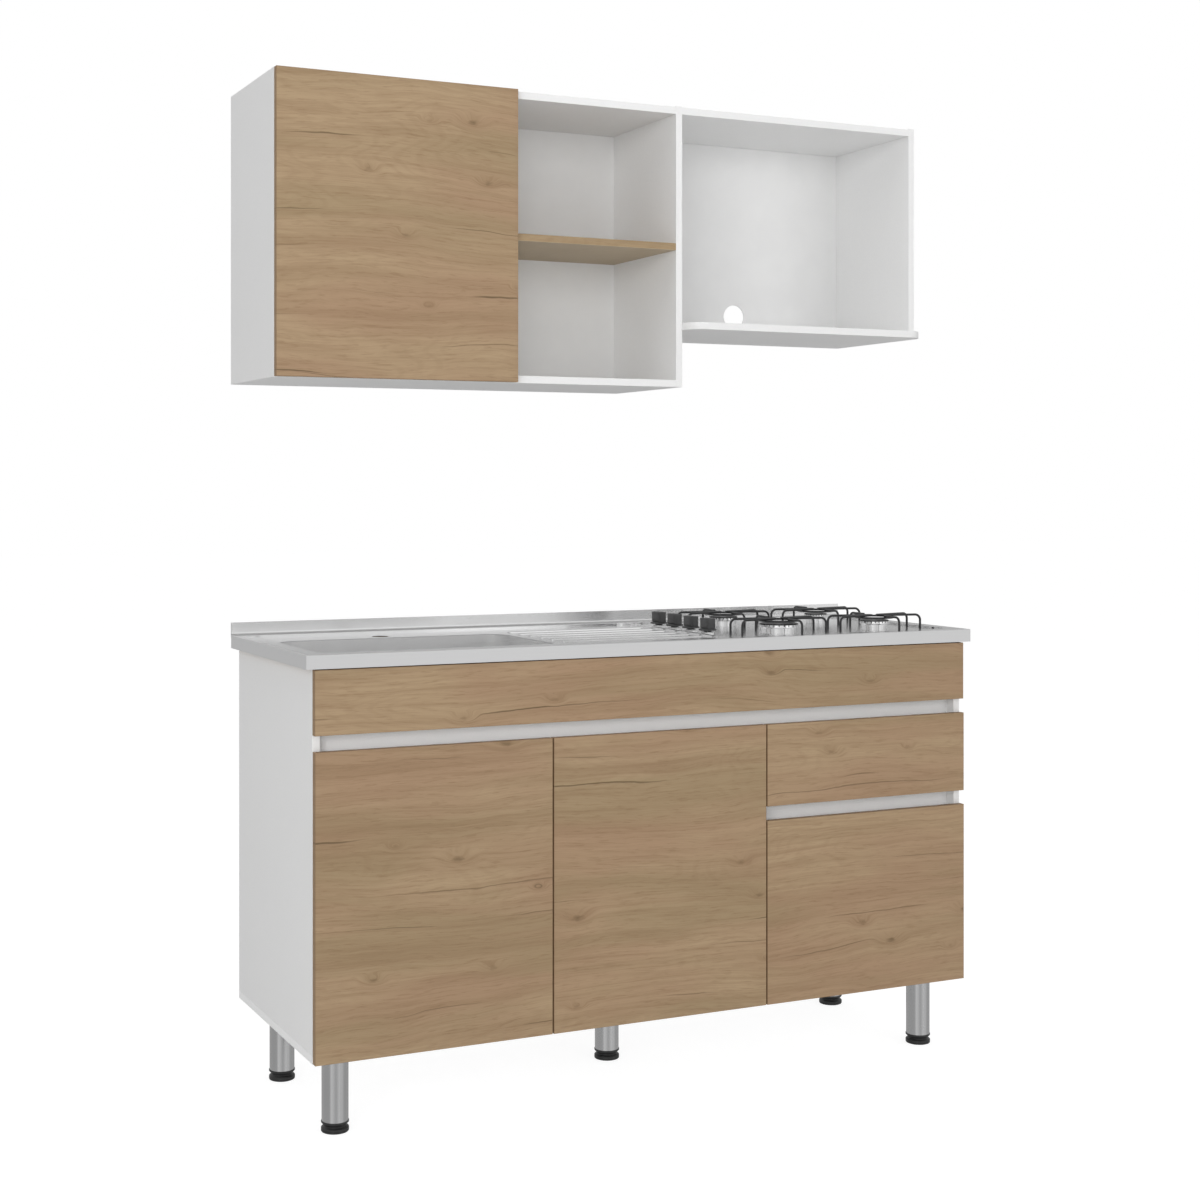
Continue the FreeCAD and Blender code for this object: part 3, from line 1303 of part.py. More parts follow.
rail_top = upper_panel_z[0] - hanging_rail_drop
rail_z = (rail_top - hanging_rail_height, rail_top)
rails = []
for tag, rail_x in (("cupboard", tall_inner), ("microwave", microwave_x)):
    rail = box(f"hanging_rail_{tag}", rail_x, (panel_back, wall_y), rail_z)
    screws = []
    for side, screw_x in (("left", rail_x[0] + screw_hole_inset), ("right", rail_x[1] - screw_hole_inset)):
        screw_start = (screw_x, panel_back - board, rail_top - hanging_rail_height / 2)
        screws.append(rod(f"screw_hole_{tag}_{side}", screw_start, screw_hole_radius,
                          hanging_space + board * 2, "y"))
    rails.append(cut(f"hanging_rail_{tag}_drilled", rail, *screws))
node("wall_hanging_rails", group("hanging_rail_group", rails))

hinged_door("wall_door", wall_door_x, (wall_unit_bottom + door_lift, wall_top - door_lift),
            wall_front - front_gap, -1, tall_inner[0])
node("hinge_arms", group("hinge_arm_group", hinge_arms))

# Check every object, then write one file for each sub-part

doc.recompute()
for item in doc.Objects:
    if "Invalid" in item.State or "Error" in item.State:
        raise RuntimeError(f"{item.Label} failed: {item.State}")
for label, piece in nodes.items():
    if piece.Shape.isNull() or not piece.Shape.isValid() or not piece.Shape.Solids:
        raise RuntimeError(f"{label} has no valid shape")

os.makedirs("parts", exist_ok=True)
for label, piece in nodes.items():
    piece.Shape.exportStep(os.path.join("parts", f"{label}.step"))
    print(label, len(piece.Shape.Solids), round(piece.Shape.Volume / 1000, 2))
print(len(nodes), "sub-parts")
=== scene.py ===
# %% [markdown]
# A fitted kitchen, dressed in Blender.
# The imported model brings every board, door and fitting at its real size and place, in metres.
# This lesson gives them edges, finishes and small fittings, then sets up a plain studio around them.

# %% Load the frame
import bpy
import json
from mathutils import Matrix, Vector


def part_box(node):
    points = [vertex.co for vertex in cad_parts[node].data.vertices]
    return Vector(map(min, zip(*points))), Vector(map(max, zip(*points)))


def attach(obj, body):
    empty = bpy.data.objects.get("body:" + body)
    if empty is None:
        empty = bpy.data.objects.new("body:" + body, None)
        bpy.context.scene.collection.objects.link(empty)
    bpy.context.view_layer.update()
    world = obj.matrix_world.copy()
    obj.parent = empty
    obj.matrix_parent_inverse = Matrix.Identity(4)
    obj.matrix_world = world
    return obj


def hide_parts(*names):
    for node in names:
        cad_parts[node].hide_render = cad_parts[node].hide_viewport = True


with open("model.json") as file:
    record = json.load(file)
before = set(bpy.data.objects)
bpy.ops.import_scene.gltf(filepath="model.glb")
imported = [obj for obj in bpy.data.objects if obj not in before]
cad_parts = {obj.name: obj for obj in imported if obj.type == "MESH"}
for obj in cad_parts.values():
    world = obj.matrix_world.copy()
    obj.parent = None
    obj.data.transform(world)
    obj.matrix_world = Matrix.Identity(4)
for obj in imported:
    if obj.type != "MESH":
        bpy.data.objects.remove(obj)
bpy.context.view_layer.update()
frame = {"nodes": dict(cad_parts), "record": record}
nodes = frame["nodes"]

# %% [markdown]
# Shapes are built in bmesh, which works on points, edges and faces with no object around them.
# Finishes, lamps and the camera belong to bpy, and mathutils turns and moves things.

# %% Tools of the lesson
import json
import math

import bmesh
import bpy
from mathutils import Matrix, Vector

# %% [markdown]
# A finish is a network of shader nodes, and placing nodes by hand takes many lines.
# One small class wraps a node's output, so that sums on patterns read like sums on numbers.

# %% Write shader sums as Python sums
class Pattern:
    """A value that changes over a surface: the output socket of a shader node."""

    def __init__(self, network, socket):
        self.network = network
        self.socket = socket

    def math(self, operation, *entries):
        inputs = dict(enumerate(entries))
        return self.network.add("ShaderNodeMath", {"operation": operation}, inputs)

    def __add__(self, other):
        return self.math("ADD", self, other)

    def __sub__(self, other):
        return self.math("SUBTRACT", self, other)

    def __mul__(self, other):
        return self.math("MULTIPLY", self, other)

    def __radd__(self, other):
        return self.math("ADD", other, self)

    def __rsub__(self, other):
        return self.math("SUBTRACT", other, self)

    def __rmul__(self, other):
        return self.math("MULTIPLY", other, self)

    def __gt__(self, other):
        return self.math("GREATER_THAN", self, other)

    def __abs__(self):
        return self.math("ABSOLUTE", self)

    def ramp(self, start, end):
        """0 up to start, 1 from end on, and a smooth rise between them."""
        settings = {"interpolation_type": "SMOOTHSTEP"}
        return self.network.add("ShaderNodeMapRange", settings,
                                {"Value": self, "From Min": start, "From Max": end})


print("patterns ready")

# %% [markdown]
# Any other node is added by one call, from its type, its settings and its inputs.
# Materials and the world hold the same kind of network, so one class serves both.

# %% Add nodes to a network
class Network:
    """A shader network, with short calls that add nodes to it."""

    def __init__(self, tree):
        self.tree = tree

    def add(self, kind, settings=None, inputs=None, output=0):
        """Any node: its settings are set first, then its sockets are given values or links."""
        node = self.tree.nodes.new(kind)
        for name, value in (settings or {}).items():
            setattr(node, name, value)
        for key, value in (inputs or {}).items():
            self.feed(self.find(node.inputs, key), value)
        return Pattern(self, self.find(node.outputs, output))

    def find(self, sockets, key):
        if isinstance(key, int):
            return sockets[key]
        return next(socket for socket in sockets if key in (socket.identifier, socket.name))

    def feed(self, socket, value):
        if isinstance(value, Pattern):
            self.tree.links.new(value.socket, socket)
        else:
            socket.default_value = value

    def parts(self, vector):
        """The three coordinates of a vector, as patterns."""
        return [self.add("ShaderNodeSeparateXYZ", None, {"Vector": vector}, axis) for axis in "XYZ"]

    def vector(self, x, y, z):
        return self.add("ShaderNodeCombineXYZ", None, {"X": x, "Y": y, "Z": z})


print("networks ready")

# %% [markdown]
# A finish is a material whose patterns use the object's own coordinates.
# They are in metres, so a pattern has its real size on every piece and moves along with it.

# %% Make a finish
class Finish(Network):
    """One material on the object's own coordinates."""

    def __init__(self, name):
        self.material = bpy.data.materials.new(name)
        self.material.use_nodes = True
        super().__init__(self.material.node_tree)
        self.shader = self.tree.nodes["Principled BSDF"]
        self.spot = self.add("ShaderNodeTexCoord", output="Object")

    def noise(self, scale, shift=(0, 0, 0), detail=2.0, rough=0.5):
        """Soft noise with its own number of waves per metre along each axis."""
        spot = self.add("ShaderNodeMapping", None, {"Vector": self.spot, "Location": shift, "Scale": scale})
        return self.noise_at(spot, detail, rough)

    def noise_at(self, spot, detail=2.0, rough=0.5):
        return self.add("ShaderNodeTexNoise", None, {
            "Vector": spot, "Scale": 1.0, "Detail": detail, "Roughness": rough})

    def blend(self, share, low, high):
        """Two colours mixed by a pattern."""
        return self.add("ShaderNodeMix", {"data_type": "RGBA"}, {
            "Factor_Float": share, "A_Color": low, "B_Color": high}, "Result_Color")

    def bump(self, height, depth, strength=1.0):
        normal = self.add("ShaderNodeBump", None, {
            "Strength": strength, "Distance": depth, "Height": height}, "Normal")
        self.feed(self.shader.inputs["Normal"], normal)

    def set(self, **values):
        """Sockets of the surface shader, with spaces written as underscores."""
        for name, value in values.items():
            self.feed(self.shader.inputs[name.replace("_", " ")], value)


def toned(colour, share):
    """A colour made darker or paler by one share, still opaque."""
    return tuple(part * share for part in colour[:3]) + (1,)


print("finishes ready")

# %% [markdown]
# The carcass boards are chipboard with a white melamine face.
# The face isn't smooth: it has a fine pearl grain, which scatters light and hides fingerprints.
# A cloudy noise gives the slight tone change of a pressed sheet, and a fine one the grain.

# %% White melamine boards
WHITE = (0.860, 0.860, 0.857, 1)
WHITE_SHADE = (0.842, 0.842, 0.840, 1)


def grainy_white(name, tone, shade, roughness, waves):
    finish = Finish(name)
    cloud = finish.noise((4, 4, 4), detail=3)
    grain = finish.noise((waves, waves, waves), detail=3, rough=0.7)
    speck = finish.noise((330, 330, 330), (3, 1, 2), detail=2)
    finish.set(Base_Color=finish.blend((cloud * 0.35 + speck * 0.65).ramp(0.36, 0.64), shade, tone))
    finish.set(Roughness=roughness - 0.08 + grain * 0.16, Specular_IOR_Level=0.3)
    finish.bump(grain * 0.7 + speck * 0.3, 0.0002, 0.25)
    return finish.material


white_board = grainy_white("white_board", WHITE, WHITE_SHADE, 0.5, 900)
# The bottom panel gets a paler, glossier copy of the same white melamine: painted light on that board.
bottom_board_painted_light = grainy_white("bottom_board_painted_light", (0.93, 0.93, 0.93, 1), (0.915, 0.915, 0.915, 1), 0.42, 900)
white_profile = grainy_white("white_profile", (0.87, 0.87, 0.87, 1), (0.855, 0.855, 0.855, 1), 0.42, 1500)
drawer_board = grainy_white("drawer_board", (0.83, 0.83, 0.82, 1), (0.80, 0.80, 0.795, 1), 0.55, 700)
print("white finishes:", white_board.name, bottom_board_painted_light.name, white_profile.name, drawer_board.name)

# %% [markdown]
# The fronts carry a rustic oak decor with its grain lying level, and rustic oak has knots.
# Each cell of a flat cell pattern draws a lot: above a limit it holds a knot, and the higher the lot,
# the larger and darker the knot. It has a ragged core, and a halo in which the grain gives way.

# %% Knots of the oak
KNOT_LOT = 0.45


def knots(finish, along, across):
    """The halo and the core of every knot, strongest in its middle."""
    flat = {"voronoi_dimensions": "2D"}
    cells = {"Vector": finish.vector(along * 4.2 + across * 2.6, across * 8.5 - along, 0), "Scale": 1.0}
    reach = finish.add("ShaderNodeTexVoronoi", flat, cells, "Distance")
    drawn = finish.add("ShaderNodeTexVoronoi", flat, cells, "Color")
    lot = finish.add("ShaderNodeSeparateColor", None, {"Color": drawn})
    knot = lot > KNOT_LOT
    halo = (1 - reach.ramp(0.0, lot * 0.26)) * knot
    ragged = reach + (finish.noise_at(finish.vector(along * 70, 5, across * 110)) - 0.5) * 0.09
    depth = lot.ramp(0.40, 1.0) * 0.75 + 0.25
    core = (1 - ragged.ramp(0.0, 0.01 + lot * 0.07)) * depth * knot
    return halo, core


print("knots where a lot is above", KNOT_LOT)

# %% [markdown]
# Dry oak opens in cracks. Each follows one row of the bent grain for a short stretch and tapers at
# both ends, so its width comes from the distance to the middle of that row.

# %% Cracks of the oak
def cracks(finish, along, bent, rows, seed, start, width):
    """Tapered stretches of the middle line of each row, with a number of rows per metre of grain."""
    row = bent * rows + seed
    number = row.math("FLOOR", row)
    gap = abs(row - number - 0.5) * (1 / rows)
    stretch = finish.noise_at(finish.vector(along * 2.7, number * 5.3, seed), 1)
    share = stretch.ramp(start, start + 0.13)
    return (1 - gap.ramp(share * width * 0.3, share * width + 0.0002)) * share


print("cracks ready")

# %% [markdown]
# Real grain is never straight: here a slow noise bends the pattern first, and knots push it aside.
# Finer noises make the streaks, fibres and pores, and each is laid over the colours before it.
# Each front is cut from another place of the sheet, so each gets its own shift and its own tone.

# %% Oak decor fronts
OAK_GOLD = (0.440, 0.318, 0.194, 1)
OAK_ROSE = (0.400, 0.268, 0.166, 1)
OAK_OLIVE = (0.352, 0.260, 0.150, 1)
OAK_BROWN = (0.250, 0.156, 0.084, 1)
OAK_CRACK = (0.110, 0.072, 0.036, 1)
OAK_PALE = (0.500, 0.415, 0.300, 1)
EDGE_STRIP = 0.0008


def oak(name, shift, tone, corners, gap_shade_share=0.55, under_share=0.0):
    """Oak decor with level grain; corners give the board, whose sides can carry a darker edge strip: painted
    shade of the gaps between fronts.
    """
    finish = Finish(name)
    gold, rose, olive, brown, dark = (toned(colour, tone) for colour in (
        OAK_GOLD, OAK_ROSE, OAK_OLIVE, OAK_BROWN, OAK_CRACK))
    x, y, z = finish.parts(finish.spot)
    along = x + shift[0]
    across = z + shift[1]
    halo, core = knots(finish, along, across)
    slow = finish.noise_at(finish.vector(along * 1.3, y, across * 3.4))
    quick = finish.noise_at(finish.vector(along * 8, y + 3, across * 22), 3)
    bent = across + (slow - 0.5) * 0.09 + (quick - 0.5) * 0.013 + halo * 0.016

    def grain(stretch, waves, seed, detail, rough=0.55):
        """Noise with some waves per metre along the grain and more of them across it."""
        return finish.noise_at(finish.vector(along * stretch, seed, bent * waves), detail, rough)

    patches = grain(2.2, 8, 1.3, 3)
    clouds = grain(1.4, 11, 12.7, 2)
    bands = grain(1.0, 34, 6.1, 3)
    streaks = grain(4.0, 130, 4.1, 4, 0.65)
    dashes = grain(26, 260, 3.3, 2, 0.6)
    fibres = grain(9, 480, 7.7, 3, 0.7)
    pores = grain(45, 1100, 2.9, 2)
    heart = grain(1.6, 6, 8.4, 2)
    flames = heart.math("SINE", heart * 170).ramp(0.0, 1.0) * patches.ramp(0.46, 0.60)
    crack = cracks(finish, along, bent, 6.5, 0.3, 0.535, 0.0022)
    hair = cracks(finish, along, bent, 17, 0.8, 0.56, 0.0013)
    opened = crack * (0.30 + streaks * 0.9) + hair * 0.5
    low, high = corners
    middle = (low + high) / 2
    half = (high - low) / 2
    # The sides and ends of each front are darkened: the real edge band, with the shade of the gaps painted
    # onto it.
    side = abs(x - middle.x) > half.x - EDGE_STRIP
    lid = abs(z - middle.z) > half.z - EDGE_STRIP
    gap_shade_strip = side.math("MAXIMUM", side, lid)
    underside = low.z + EDGE_STRIP - z > 0
    layers = [
        (clouds.ramp(0.46, 0.66) * 0.75, olive), (bands.ramp(0.42, 0.72) * 0.34, brown),
        (streaks.ramp(0.42, 0.70) * 0.32, brown), (flames * 0.13, brown),
        (fibres.ramp(0.45, 0.75) * 0.30, brown), (dashes.ramp(0.54, 0.70) * 0.34, brown),
        (pores.ramp(0.60, 0.74) * 0.24, dark), (halo * streaks * 0.55, brown), (core * 0.35, brown),
        (core * (dashes * 1.1 - 0.10), dark), (opened, dark), (gap_shade_strip * gap_shade_share, brown),
        (underside * under_share, OAK_PALE),
    ]
    colour = finish.blend(patches.ramp(0.36, 0.64), rose, gold)
    for share, tint in layers:
        colour = finish.blend(share, colour, tint)
    finish.set(Base_Color=colour, Roughness=0.50 + fibres * 0.14, Specular_IOR_Level=0.25)
    finish.bump(fibres * 0.5 + pores * 0.2 - opened * 0.8, 0.0002, 0.35)
    return finish.material


oak_cuts = {
    "fascia_panel": ((0.35, 3.1), 0.97), "door_left": ((2.25, 0.4), 0.94), "door_middle": ((5.1, 1.7), 0.96),
    "drawer_front": ((7.9, 0.05), 0.97), "door_right": ((9.35, 2.2), 0.97), "wall_door": ((12.6, 0.9), 0.98),
}
oak_finishes = {}
for name, (shift, tone) in oak_cuts.items():
    oak_finishes[name] = oak(f"oak_{name}", shift, tone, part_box(name))
oak_finishes["niche_shelf"] = oak("oak_niche_shelf", (15.2, 4.3), 1.0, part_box("niche_shelf"), 0.0, 0.75)
print("oak finishes:", len(oak_finishes))

# %% [markdown]
# The thin backs are fibreboard: white lacquer towards the room, bare brown fibre towards the wall.
# One material can hold both, because the two faces lie at different depths.

# %% Lacquered fibreboard backs
FIBRE = (0.235, 0.145, 0.080, 1)
FIBRE_DARK = (0.165, 0.098, 0.052, 1)
LACQUER = 0.0004


def fibreboard(name, wall_face):
    finish = Finish(name)
    flecks = finish.noise((300, 300, 1100), detail=4, rough=0.7)
    mottle = finish.noise((18, 18, 18), detail=3)
    bare = finish.blend((flecks * 0.7 + mottle * 0.3).ramp(0.35, 0.65), FIBRE_DARK, FIBRE)
    grain = finish.noise((800, 800, 800), detail=3)
    white = finish.blend(mottle.ramp(0.3, 0.7), WHITE_SHADE, WHITE)
    rear = finish.parts(finish.spot)[1] > wall_face - LACQUER
    finish.set(Base_Color=finish.blend(rear, white, bare))
    finish.set(Roughness=0.42 + rear * 0.35 + grain * 0.08, Specular_IOR_Level=0.35)
    finish.bump(grain * 0.4 + flecks * rear, 0.0002, 0.4)
    return finish.material


back_panels = ("base_back_panel", "cupboard_back_panel", "microwave_back_panel")
back_finishes = {name: fibreboard(f"fibre_{name}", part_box(name)[1].y) for name in back_panels}
print("fibreboard backs:", len(back_finishes))

# %% [markdown]
# Metals are told apart by their gloss.
# Rolling and brushing leave fine lines along one direction, so the noise is stretched that way.
# It changes roughness and bump only a little: the eye reads it as brushing, not as dirt.

# %% Metals
def brushed_metal(name, colour, roughness, waves, spread=0.08, cloud=0.05, metallic=1.0):
    """Metal brushed along the axis that has the fewest waves per metre."""
    finish = Finish(name)
    lines = finish.noise(waves, detail=3, rough=0.65)
    patches = finish.noise((9, 9, 9), (4, 2, 7), detail=3)
    shade = patches.ramp(0.3, 0.7) * 0.6 + lines * 0.4
    finish.set(Metallic=metallic, Base_Color=finish.blend(shade, toned(colour, 1 - cloud), colour))
    finish.set(Roughness=roughness - spread / 2 + lines * spread + patches * 0.04)
    finish.bump(lines, 0.00002, 0.15)
    return finish.material


bowl_steel = brushed_metal("bowl_steel", (0.90, 0.90, 0.90, 1), 0.24, (8, 8, 700), 0.06, 0.04, 0.85)
sheet_steel = brushed_metal("sheet_steel", (0.68, 0.68, 0.68, 1), 0.22, (6, 900, 900))
leg_aluminium = brushed_metal("leg_aluminium", (0.45, 0.45, 0.452, 1), 0.22, (1100, 1100, 5))
burner_alloy = brushed_metal("burner_alloy", (0.95, 0.95, 0.95, 1), 0.06, (180, 180, 900), 0.04, 0.03, 0.92)
pipe_aluminium = brushed_metal("pipe_aluminium", (0.62, 0.62, 0.62, 1), 0.34, (60, 700, 700))
hardware_steel = brushed_metal("hardware_steel", (0.60, 0.59, 0.57, 1), 0.27, (300, 300, 40))
tap_brass = brushed_metal("tap_brass", (0.70, 0.50, 0.22, 1), 0.33, (500, 500, 60), cloud=0.2)
chrome_ring = brushed_metal("chrome_ring", (0.97, 0.97, 0.97, 1), 0.10, (200, 200, 200), 0.03, 0.02, 0.3)
print("metals ready")

# %% [markdown]
# The worktop is one sheet: its top is polished by the press tools, its folded edges are satin.
# The distance from the front and from the ends tells the two apart.
# Ridges and steps stand up from the flat parts, where cloths and pans polish them further.
# The upstand along the wall is only bent, not pressed, so it keeps more of the mill's satin.

# %% Pressed worktop sheet
POLISHED_STEEL = (0.79, 0.79, 0.792, 1)
SATIN_STEEL = (0.758, 0.758, 0.760, 1)
SATIN_LINES = 0.93
FOLD = 0.0015
# The pressed floors lie this far above the foot of the folded edge.
PRESSED_LEVEL = 0.023
deck_low, deck_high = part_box("worktop_deck")
upstand_face = deck_high.y - FOLD


def pressed_sheet(name):
    finish = Finish(name)
    x, y, z = finish.parts(finish.spot)
    lines = finish.noise((5, 800, 800), detail=3, rough=0.65)
    smears = finish.noise((9, 22, 9), (2, 2, 2), detail=2)
    from_front = (y - deck_low.y).ramp(FOLD / 3, FOLD * 2)
    from_ends = (deck_high.x - abs(x)).ramp(FOLD / 3, FOLD * 2)
    polished = from_front * from_ends
    rise = z - deck_low.z - PRESSED_LEVEL
    ridge = polished * rise.ramp(0.0001, 0.0006) * (1 - rise.ramp(0.0028, 0.0034))
    satin = finish.blend(lines, toned(SATIN_STEEL, SATIN_LINES), SATIN_STEEL)
    finish.set(Metallic=1.0 - polished * 0.06, Base_Color=finish.blend(polished, satin, POLISHED_STEEL))
    upstand = y.ramp(upstand_face - 0.004, upstand_face - 0.001)
    finish.set(Roughness=0.47 - polished * 0.29 - ridge * 0.13 + upstand * 0.06
               + lines * 0.02 + smears * 0.02)
    finish.bump(lines, 0.00001, 0.04)
    return finish.material


worktop_steel = pressed_sheet("worktop_steel")
print("worktop sheet, polished behind", round(deck_low.y + FOLD * 2, 4))

# %% [markdown]
# Moulded plastic has a faint orange-peel skin, and enamel on wire is glossier and slightly wavy.
# Raw chipboard shows its chips: cells of different browns, each with its own tone.

# %% Plastics, enamel and chipboard
CHIP_DARK = (0.30, 0.19, 0.10, 1)
CHIP_PALE = (0.52, 0.37, 0.21, 1)
CHIPS_PER_METRE = 260.0


def moulded(name, colour, pale, roughness, waves=1400):
    finish = Finish(name)
    skin = finish.noise((waves, waves, waves), detail=2)
    wear = finish.noise((60, 60, 60), (1, 5, 2), detail=4)
    finish.set(Base_Color=finish.blend(wear.ramp(0.35, 0.8), colour, pale))
    finish.set(Roughness=roughness - 0.06 + skin * 0.08 + wear * 0.06)
    finish.bump(skin, 0.00008, 0.3)
    return finish.material


def raw_chipboard(name):
    finish = Finish(name)
    chips = finish.add("ShaderNodeTexVoronoi", None, {
        "Vector": finish.spot, "Scale": CHIPS_PER_METRE}, "Color")
    tone = finish.add("ShaderNodeSeparateColor", None, {"Color": chips})
    dust = finish.noise((900, 900, 900), detail=3)
    finish.set(Base_Color=finish.blend(tone, CHIP_DARK, CHIP_PALE))
    finish.set(Roughness=0.8 + dust * 0.1)
    finish.bump(tone * 0.6 + dust * 0.4, 0.0004, 0.6)
    return finish.material


black_plastic = moulded("black_plastic", (0.012, 0.012, 0.012, 1), (0.022, 0.022, 0.022, 1), 0.38)
knob_plastic = moulded("knob_plastic", (0.040, 0.040, 0.041, 1), (0.060, 0.060, 0.061, 1), 0.42)
grey_plastic = moulded("grey_plastic", (0.30, 0.30, 0.30, 1), (0.36, 0.36, 0.36, 1), 0.4)
black_enamel = moulded("black_enamel", (0.016, 0.016, 0.017, 1), (0.030, 0.030, 0.031, 1), 0.30, 500)
chipboard = raw_chipboard("chipboard")
print("plastics, enamel and chipboard ready")

# %% [markdown]
# Every node of the frame names the slot of its finish, so one loop can dress them all.
# The oak fronts and the backs have finishes of their own, made for their place.

# %% Dress the nodes
slot_finishes = {
    "white_board": white_board, "white_profile": white_profile, "drawer_board": drawer_board,
    "chipboard": chipboard, "sheet_steel": sheet_steel, "grey_plastic": grey_plastic,
    "black_plastic": black_plastic, "knob_plastic": knob_plastic, "leg_aluminium": leg_aluminium,
    "burner_alloy": burner_alloy, "pipe_aluminium": pipe_aluminium, "tap_brass": tap_brass,
    "chrome_ring": chrome_ring, "black_enamel": black_enamel, "hardware_steel": hardware_steel,
}
own_finishes = {**oak_finishes, **back_finishes, "worktop_deck": worktop_steel,
                # The bottom panel takes the paler copy of the white, which is painted light.
                "sink_bowl": bowl_steel, "base_bottom_panel": bottom_board_painted_light}
node_slots = {row["node"]: row["material_slot"] for row in frame["record"]["subparts"]}
for name, piece in nodes.items():
    finish = own_finishes.get(name) or slot_finishes[node_slots[name]]
    for entry in piece.material_slots:
        entry.material = finish
print("dressed", len(nodes), "nodes")

# %% [markdown]
# No board has a knife edge: its edge strip is trimmed to a small round.
# The frame's meshes stay as they are, so live modifiers weld the triangles and round the edges.
# The hanging rails stay as they are, because a live bevel would leave marks around their screw holes.

# %% Round the board edges
BOARD_ROUND = 0.0006
WELD_REACH = 0.00001
# Edges that turn by more than this are rounded.
ROUNDED_FROM = math.radians(50)
board_slots = ("white_board", "white_hardboard", "oak_board", "drawer_board")


def round_edges(piece, width):
    weld = piece.modifiers.new("weld", "WELD")
    weld.merge_threshold = WELD_REACH
    bevel = piece.modifiers.new("round", "BEVEL")
    bevel.width = width
    bevel.segments = 2
    bevel.profile = 0.5
    bevel.limit_method = "ANGLE"
    bevel.angle_limit = ROUNDED_FROM


rounded = [name for name, slot in node_slots.items()
           if slot in board_slots and name != "wall_hanging_rails"]
for name in rounded:
    round_edges(nodes[name], BOARD_ROUND)
print("rounded", len(rounded), "boards")

# %% [markdown]
# Small fittings look best when they are made finer than the frame needs them.
# A bmesh holds the shape while operators build it: a spin turns a profile into a round body,
# a bevel rounds the edges of a block. One helper closes each shape into a piece.

# %% Helpers for pieces
MM = 0.001
CREASE = math.radians(38)
SAME_POINT = 0.000001


def in_metres(profile):
    """A profile drawn in millimetres, in metres."""
    return [(radius * MM, height * MM) for radius, height in profile]


def close_piece(name, shape, finish, body):
    """Merge and smooth a shape, give it a finish and let it ride on a body."""
    bmesh.ops.remove_doubles(shape, verts=shape.verts, dist=SAME_POINT)
    bmesh.ops.recalc_face_normals(shape, faces=shape.faces)
    for face in shape.faces:
        face.smooth = True
    for edge in shape.edges:
        edge.smooth = edge.calc_face_angle(0) < CREASE
    mesh = bpy.data.meshes.new(name)
    shape.to_mesh(mesh)
    shape.free()
    mesh.materials.append(finish)
    piece = bpy.data.objects.new(name, mesh)
    bpy.context.scene.collection.objects.link(piece)
    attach(piece, body)
    return piece


def spin_into(shape, profile, spot, steps=64):
    """Turn a profile of (radius, height) points round an upright axis at a spot."""
    before = set(shape.verts)
    points = [shape.verts.new((radius, 0, height)) for radius, height in profile]
    lines = [shape.edges.new(pair) for pair in zip(points, points[1:])]
    bmesh.ops.spin(shape, geom=points + lines, cent=(0, 0, 0), axis=(0, 0, 1), angle=2 * math.pi,
                   steps=steps, use_merge=True)
    fresh = [vert for vert in shape.verts if vert not in before]
    bmesh.ops.translate(shape, verts=fresh, vec=spot)


def block_into(shape, size, spot, edge_round, segments=3):
    """A block of a size, with all its edges rounded, centred on a spot."""
    made = bmesh.ops.create_cube(shape, size=1.0)
    bmesh.ops.scale(shape, verts=made["verts"], vec=size)
    bmesh.ops.translate(shape, verts=made["verts"], vec=spot)
    edges = list({edge for vert in made["verts"] for edge in vert.link_edges})
    bmesh.ops.bevel(shape, geom=edges, offset=edge_round, offset_type="OFFSET", affect="EDGES",
                    segments=segments, profile=0.5, material=-1)


print("piece helpers ready")

# %% [markdown]
# Each leg ends in a screwed foot of black plastic: a wide base with a groove, a waist to grip,
# and a collar that flares out under the tube. One profile, spun five times, makes them all.
# Four stand near the corners and the fifth under the middle of the bottom panel.

# %% Feet
foot_low, foot_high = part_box("leg_feet")
FOOT_RADIUS = 26.5
foot_profile = [
    (0, 0.4), (22.8, 0.4), (23.2, 0), (24.4, 0), (25.6, 0.5), (26.3, 1.5), (26.5, 2.8), (26.5, 4.0),
    (25.8, 4.3), (25.8, 5.0), (26.5, 5.3), (26.5, 7.2), (26.2, 8.2), (25.4, 8.9), (23.0, 10.4),
    (22.2, 11.2), (22.0, 12.2), (22.3, 13.2), (23.4, 14.6), (25.4, 16.6), (26.3, 17.6), (26.5, 18.6),
    (26.5, 20.2), (26.2, 20.8), (25.6, 21.0), (21.5, 21.0), (21.5, 44.0), (20.0, 45.9), (0, 45.9),
]
inset = FOOT_RADIUS * MM
bottom_low, bottom_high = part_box("base_bottom_panel")
leg_spots = [(x, y) for x in (foot_low.x + inset, foot_high.x - inset)
             for y in (foot_low.y + inset, foot_high.y - inset)]
leg_spots.append(((bottom_low.x + bottom_high.x) / 2, (bottom_low.y + bottom_high.y) / 2))
feet = bmesh.new()
for x, y in leg_spots:
    spin_into(feet, in_metres(foot_profile), (x, y, 0))
feet_piece = close_piece("turned_feet", feet, black_plastic, "kitchen")
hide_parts("leg_feet")
print("feet:", len(leg_spots), "with", len(feet_piece.data.polygons), "faces")

# %% [markdown]
# A hob knob has a thin round skirt that keeps spills out, and a square bar to grip.
# A groove near the bar's front end sets off the end that points, and a pale line marks its top.
# The bar is a stack of three rounded blocks: body, a narrower core in the groove, and the end.

